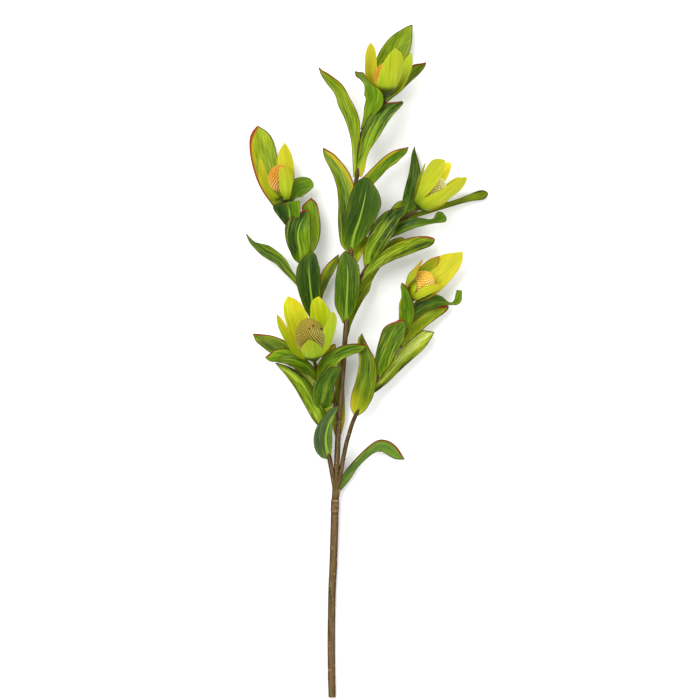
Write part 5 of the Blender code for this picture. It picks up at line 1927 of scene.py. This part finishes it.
LOWER_RIGHT_LEAVES = (
    Leaf(361, ((77.5, 382, 33), (77, 395, 39), (74, 407, 44), (69.7, 417, 44)), 30, 0.1,
        edges=((0, 1.5, 1.5), (15, 5, 4), (30, 6.5, 4.6), (50, 7.1, 4.9), (60, 7, 4.7), (70, 6, 4.4),
         (80, 4.9, 3.6), (90, 3.8, 2.9), (95, 2.9, 2.4), (100, 0.6, 0.6)),
        look=Look(0.36, (0.1, 1), warmth=0)),
    Leaf(362, ((71, 382, 24), (69, 395, 22), (71, 405, 21)),
        edges=((0, 2, 2), (30, 4, 4), (50, 4, 4), (70, 2.4, 4), (90, 1.2, 3), (100, 0.4, 0.4)),
        look=Look(0.5, (0.1, 0.1), (0.3, 0), warmth=0.6)),
    Leaf(376, ((87, 389.5, 22), (98, 395.5, 19.5), (109, 398.5, 18), (119, 396.5, 18), (126.5, 400.5, 19),
         (128, 410, 21)), -10, wave=0.3,
        edges=((0, 1.5, 1.5), (15, 6, 4), (30, 10, 5), (45, 11, 5.3), (55, 8.4, 5), (62, 5.2, 4.2),
         (67, 2.6, 3), (72, 1.4, 1.6), (76, 1, 1.4), (80, 2, 3), (86, 3.8, 3.6), (92, 4.1, 2.8),
         (100, 3, 2.6)),
        look=Look(0.22, (0.2, 0.2), warmth=0.1, slope=0.38)),
    Leaf(352, ((84, 373, 20), (98, 385, 16), (117, 394, 13)), 10, width=15,
        look=Look(0.5, (3.4, 1), (0.4, 0), warmth=0.8, streak=1)),
    Leaf(321, ((48.5, 340, 33), (55.5, 357, 37), (62, 369, 37), (71.5, 380, 35)), 0, 0.1,
        edges=((0, 2, 3), (15, 4, 7), (30, 5.5, 11), (50, 8, 12.7), (60, 9.1, 13.3), (70, 10.3, 13.6),
         (75, 10.2, 13.3), (80, 9, 12.4), (90, 5.1, 9.1), (95, 4, 7), (98.5, 2.5, 4), (100, 0.8, 1)),
        look=Look(0.22, (1.3, 0.7), warmth=0.2, streak=0.7, painted_half_shade=(0, 0.05))),
    Leaf(308, ((53, 322, 21), (68.5, 339, 20), (84.5, 356, 18), (102.5, 368, 16)), -6, 0.14,
        edges=((0, 2, 4), (10, 2, 5), (20, 3.2, 5.3), (40, 5.8, 6.2), (60, 8.2, 8), (75, 10.8, 8.9),
         (85, 10.6, 7.2), (90, 8, 5.1), (95, 4.2, 3.1), (100, 0.4, 0.4)),
        look=Look(0.84, (0.6, 0.3), rib=0.1, warmth=0.6, streak=1.2, painted_half_shade=(0, -0.4), slope=0.3,
         painted_margin_light=-0.3)),
    Leaf(285, ((27.5, 299, 26), (33, 317, 30), (35.5, 336, 31), (33.5, 352, 29), (30, 366.7, 25)), -6, 0.2,
         1.4,
        edges=((0, 2.6, 2.6), (5, 5.8, 6), (10, 7.8, 8.2), (20, 9.6, 10.8), (30, 10.3, 11.6),
         (45, 9.9, 11.2), (60, 8.9, 9.4), (70, 8.3, 6.7), (80, 8, 3.6), (90, 6.6, 1.6), (95, 4.7, 0.9),
         (100, 0.4, 0.4)),
        look=Look(0.27, (0.3, 0.9), (0.4, 0.2), 0.2, 0.5, 0.6, slope=-0.2, ripeness=(0.65, 0.15))),
)
LOWER_LEFT_LEAVES = (
    Leaf(326, ((-38, 341.5, 26), (-51, 351, 25), (-64, 358.5, 23), (-79.4, 366.2, 21)),
        edges=((0, 1.5, 1.5), (20, 6, 6), (40, 8.4, 8.8), (55, 8.8, 9.2), (70, 8.7, 8), (80, 7.6, 6.2),
         (90, 6.1, 3.4), (95, 3.8, 2), (100, 0.4, 0.4)),
        look=Look(0.3, (0.4, 1.2), (0, 0.2), 0.2, 0.6, 0.7, painted_half_shade=(-0.1, 0.04))),
    Leaf(324, ((-40, 341, 32), (-54, 345, 32), (-67, 342.5, 29)), 10,
        edges=((0, 1.5, 1.5), (30, 6, 8), (60, 7, 8.5), (75, 7, 6.7), (85, 6.6, 3.9), (90, 6, 2.7),
         (95, 4.2, 1.6), (100, 0.4, 0.4)),
        look=Look(0.5, (0.3, 1), warmth=0, streak=0.8, painted_half_shade=(-0.15, 0.04))),
    Leaf(319, ((-24, 333, 37), (-35, 338.5, 39), (-46, 340.5, 37), (-56, 339, 33)), -30, width=11,
        look=Look(0.24, (0.2, 0.2), warmth=0.1)),
    Leaf(317, ((-8, 333, 35), (5, 345, 38), (18, 350.5, 38), (34, 353.6, 35)), -8,
        edges=((0, 2, 2), (15, 4.5, 5), (30, 7.4, 8), (40, 7.4, 8), (50, 6.9, 7), (60, 6.3, 6.2),
         (70, 6, 5.8), (80, 5.3, 5.3), (90, 4.2, 4.7), (96, 2.8, 2.6), (100, 1, 0.5)),
        look=Look(0.28, (1, 0.2), warmth=0.1, streak=0.8, painted_half_shade=(0, 0.08))),
    Leaf(323, ((-6, 341, 29), (3, 356, 28)), width=9,
        look=Look(0.6, (0.6, 0.6), (0.9, 0.9), warmth=0.9)),
    Leaf(273, ((-19, 298, 29), (-31, 317, 31), (-43, 329, 30), (-56.5, 337, 26)), 8, 0.3,
        edges=((0, 3, 2), (5, 5.6, 4), (15, 7.8, 6), (30, 8.8, 8), (50, 8.4, 8), (70, 6.7, 6),
         (85, 4.4, 3.4), (95, 2, 1.6), (100, 0.5, 0.5)),
        look=Look(0.52, (0.2, 0.2), rib=1, streak=1.2, painted_margin_light=-0.28, painted_half_shade=(-0.02, -0.12))),
    Leaf(286, ((-20, 308, 24), (-28, 326, 23), (-36, 342, 21)), width=17,
        look=Look(0.72, (0.1, 0.1), warmth=0.6, streak=1)),
    Leaf(288, ((-9.5, 302, 35), (-6, 315, 39), (0, 325, 41), (9, 333, 41)), -6, 0.1,
        edges=((0, 2, 4), (10, 4.5, 8), (20, 7.5, 9.4), (30, 10, 9.8), (45, 11.5, 9.4), (60, 11.5, 8.6),
         (75, 9.5, 7), (90, 5, 4.6), (100, 0.8, 0.8)),
        look=Look(0.17, (0.4, 0.2), rib=0.5, warmth=0, streak=0.6, slope=-0.1)),
    Leaf(241, ((-6, 255, 24), (-5.3, 269, 29), (0.5, 284, 31), (6.4, 294, 30)), 0, 0.16,
        edges=((0, 2.4, 1.8), (5, 6.6, 2.6), (10, 8.6, 3.4), (20, 11, 5.4), (30, 12.2, 6.4),
         (40, 12.3, 6.6), (50, 11.5, 5.9), (60, 10, 4.9), (70, 8.4, 3.4), (80, 7.2, 2.4), (90, 5, 1.6),
         (100, 0.5, 0.4)),
        look=Look(0.04, (0.1, 0.1), rib=1.4, warmth=-0.35, streak=0.45, painted_half_shade=(0, 0.26))),
    Leaf(281, ((-4, 297, 28), (0, 314, 29)), width=9,
        look=Look(0.6, (0.2, 0.2), (0.2, 0.2), warmth=0.7)),
)
UPPER_LEFT_LEAVES = (
    Leaf(472, ((-53, 495, 19), (-61.5, 517, 12), (-68.5, 540, 7), (-72.4, 561, 3.5), (-75.2, 576.2, 0.4)),
         -4, 0.12,
        edges=((0, 2.5, 1.5), (10, 4, 4), (20, 5, 8), (30, 6.8, 10.5), (40, 10, 12.4), (50, 12, 13.6),
         (60, 12.6, 14), (75, 12.6, 13.8), (82, 12, 13.2), (88, 10.8, 11.6), (93, 8.4, 8.4), (97, 4.8, 4.2),
         (100, 0.6, 0.5)),
        look=Look(0.54, (2.4, 0.7), (1.2, 0.1), 0.1, 0.75, 0.8)),
    Leaf(481, ((-43, 495, 27), (-40.5, 506, 26), (-34, 513, 26), (-26, 515.6, 26), (-18.4, 515.6, 26)), 0,
         0.1,
        edges=((0, 1.5, 1.5), (30, 2.5, 2.5), (50, 6, 7), (62, 8.6, 10), (75, 9, 9.6), (87, 7.6, 8),
         (95, 5, 5.4), (100, 1.5, 2)),
        look=Look(0.38, (0.1, 0.3), rib=0.2, warmth=0)),
    Leaf(468, ((-41.5, 478, 35), (-42.5, 488, 39), (-43.8, 498, 41)),
        edges=((0, 2, 3), (20, 3.5, 6), (40, 7, 9), (60, 11.6, 10.4), (80, 15, 11.4), (92, 15.6, 11.6),
         (97, 14.4, 11.6), (100, 11, 11)),
        look=Look(0.2, (0.5, 0.1), rib=1.2, warmth=0, streak=0.4, painted_half_shade=(-0.14, 0.16))),
    Leaf(437, ((-32, 450, 33), (-34, 463, 37), (-32, 475, 38), (-24.4, 489.4, 35)), 0, 0.1,
        edges=((0, 2.5, 2), (10, 7, 5), (20, 9, 8), (30, 10.4, 10.5), (40, 11.6, 12), (50, 12.6, 12.8),
         (60, 13.6, 12.4), (68, 13.8, 11.6), (75, 12, 10.3), (81, 9.2, 8.8), (90, 5.8, 6.3), (96, 4, 4),
         (100, 1.6, 1.4)),
        look=Look(0.22, (1.1, 0.2), rib=1, warmth=0.1, painted_half_shade=(-0.12, 0.14), slope=-0.1)),
    Leaf(440, ((-20, 457, 24), (-18.5, 475, 22), (-19, 490, 21), (-21, 502.6, 21)),
        edges=((0, 2, 2), (20, 6, 5), (35, 8, 5.9), (50, 9.5, 7), (60, 10.5, 7), (75, 11, 6), (86, 11, 5.3),
         (90, 10.4, 4.9), (94, 7.4, 3.6), (98, 2.6, 1.4), (100, 0.6, 0.4)),
        look=Look(0.5, (1.4, 1.2), warmth=0.3, streak=0.6)),
    Leaf(374, ((-19.5, 395, 25), (-22, 415, 30), (-23, 432, 33), (-20.6, 448.6, 33)), 0, 0.1,
        edges=((0, 1.5, 1.5), (10, 4, 4), (20, 7, 6), (30, 9.6, 7.6), (40, 11.1, 9.1), (50, 12.4, 10.7),
         (60, 13.4, 11.3), (70, 13.2, 11.3), (80, 11.6, 10.6), (90, 7.1, 7.8), (95, 4.2, 5.9),
         (98.5, 1.8, 3.4), (100, 0.5, 1)),
        look=Look(0.09, (0.2, 0.2), rib=0.95, warmth=0, streak=0.3)),
    Leaf(407, ((-42, 427, 23), (-54, 441, 21), (-70, 450, 17), (-86.3, 467, 12)), 10, 0.2,
        edges=((0, 1.5, 1.5), (20, 3.1, 2.6), (30, 3.8, 3.4), (40, 4.7, 4.9), (50, 5.1, 5.6), (58, 5, 7),
         (65, 4.4, 8.1), (70, 4.2, 7.7), (76, 4, 5.8), (81, 3.9, 3.2), (86, 3.8, 1), (92, 3.2, 0.4),
         (97, 1.6, 0.3), (100, 0.5, 0.4)),
        look=Look(0.16, (0.2, 0.2), warmth=0.2, streak=0.6)),
    Leaf(376, ((-12, 398, 18), (-9, 416, 18), (-3.5, 430, 19), (6.6, 446, 19)), -6,
        edges=((0, 1, 1), (20, 2, 1.4), (40, 4.4, 2), (50, 5, 3.7), (60, 5.4, 4.5), (70, 5.3, 5.3),
         (80, 4.4, 5.4), (88, 3, 4.4), (95, 1.6, 2.4), (100, 0.3, 0.3)),
        look=Look(0.36, (0.8, 0.4), (0.7, 0), 0.2, 0.7, 0.8, painted_half_shade=(0.2, -0.16))),
)
FORK_LEAF = (
    Leaf(210.5, ((13.4, 220, 7.6), (23.5, 235, 9.6), (36, 248.5, 12.5), (49, 256.5, 12.5), (61, 251, 10),
         (72.8, 240, 6.5)), -18, wave=0.4,
        edges=((0, 3, 2), (10, 4.8, 3.6), (20, 4.9, 4.2), (30, 4.2, 3.8), (45, 3.3, 4.6), (57, 3.5, 5.6),
         (64, 3.8, 8), (70, 4, 8.4), (78, 4.7, 8.3), (86, 3.8, 7.9), (92, 2.4, 6.6), (96, 1.4, 4),
         (100, 0.4, 0.5)),
        look=Look(0.32, (1.8, 0.6), rib=0.1, warmth=-0.3, streak=0.7, slope=0.5)))
BACK_LEAF = (
    Leaf(264, ((6.5, 288, 10.4), (8, 308, 10), (9, 330, 11), (11, 350, 13)), shoulder=0.4,
        edges=((0, 3, 3), (8, 5, 5), (20, 6, 6.6), (35, 6, 6), (50, 5.2, 4.4), (70, 4.6, 3.4), (90, 3, 2.4),
         (100, 0.5, 0.5)),
        look=Look(0.6, (0.1, 0.1), (0.6, 0.6), warmth=1, ripeness=(1, 1))))

WOOD = WoodyStem((
    Twig(MAIN_RUN, MAIN_RADII, 0, 352, 0.1, 32, 1.2),
    Twig(LOWER_LEFT_RUN, LOWER_LEFT_RADII, 208, 236, 0.4),
    Twig(LOWER_RIGHT_RUN, LOWER_RIGHT_RADII, 212, 279, 0.4),
    Twig(UPPER_LEFT_RUN, UPPER_LEFT_RADII, 280, 366, 0.5),
    Twig(STUB_RUN, STUB_RADII, 200.5, 209.2, -1, 16, 0.9),
    Twig(STUB_RUN, STUB_RADII, 208.4, 210.4, -3.6, 16, 0.5),
))
SHOOTS = (
    Shoot("top", (Twig(MAIN_RUN, MAIN_RADII, 352.2, 600.5, 0.5),
                  Twig(UPPER_RIGHT_RUN, UPPER_RIGHT_RADII, 389, 405, 0.6)), TOP_LEAVES),
    Shoot("upper_right", (Twig(UPPER_RIGHT_RUN, UPPER_RIGHT_RADII, 405.2, 490.6, 0.7),),
          UPPER_RIGHT_LEAVES),
    Shoot("lower_right", (Twig(LOWER_RIGHT_RUN, LOWER_RIGHT_RADII, 279.2, 399.8, 0.7),),
          LOWER_RIGHT_LEAVES),
    Shoot("lower_left", (Twig(LOWER_LEFT_RUN, LOWER_LEFT_RADII, 236.2, 338.4, 0.6),), LOWER_LEFT_LEAVES),
    Shoot("upper_left", (Twig(UPPER_LEFT_RUN, UPPER_LEFT_RADII, 366.2, 496.1, 0.7),), UPPER_LEFT_LEAVES),
)
LONE_LEAVES = (
    LoneLeaf("leaf_fork", FORK_LEAF, (7, 209.4, 8.6), 0.37),
    LoneLeaf("leaf_behind", BACK_LEAF, (5.8, 264, 12.6), 0.71),
)
BLOOMS = (BLOOM_TOP, BLOOM_UPPER_RIGHT, BLOOM_LOWER_RIGHT, BLOOM_LOWER_LEFT, BLOOM_UPPER_LEFT)


def main() -> None:
    """Build the studio and the whole stem."""
    logging.basicConfig(level=logging.INFO, format="%(name)s: %(message)s")
    Studio().build()
    WOOD.build()
    for shoot in SHOOTS:
        shoot.build()
    for leaf in LONE_LEAVES:
        leaf.build()
    tree = ConeTree()
    for bloom in BLOOMS:
        bloom.build(tree)


if __name__ == "__main__":
    main()
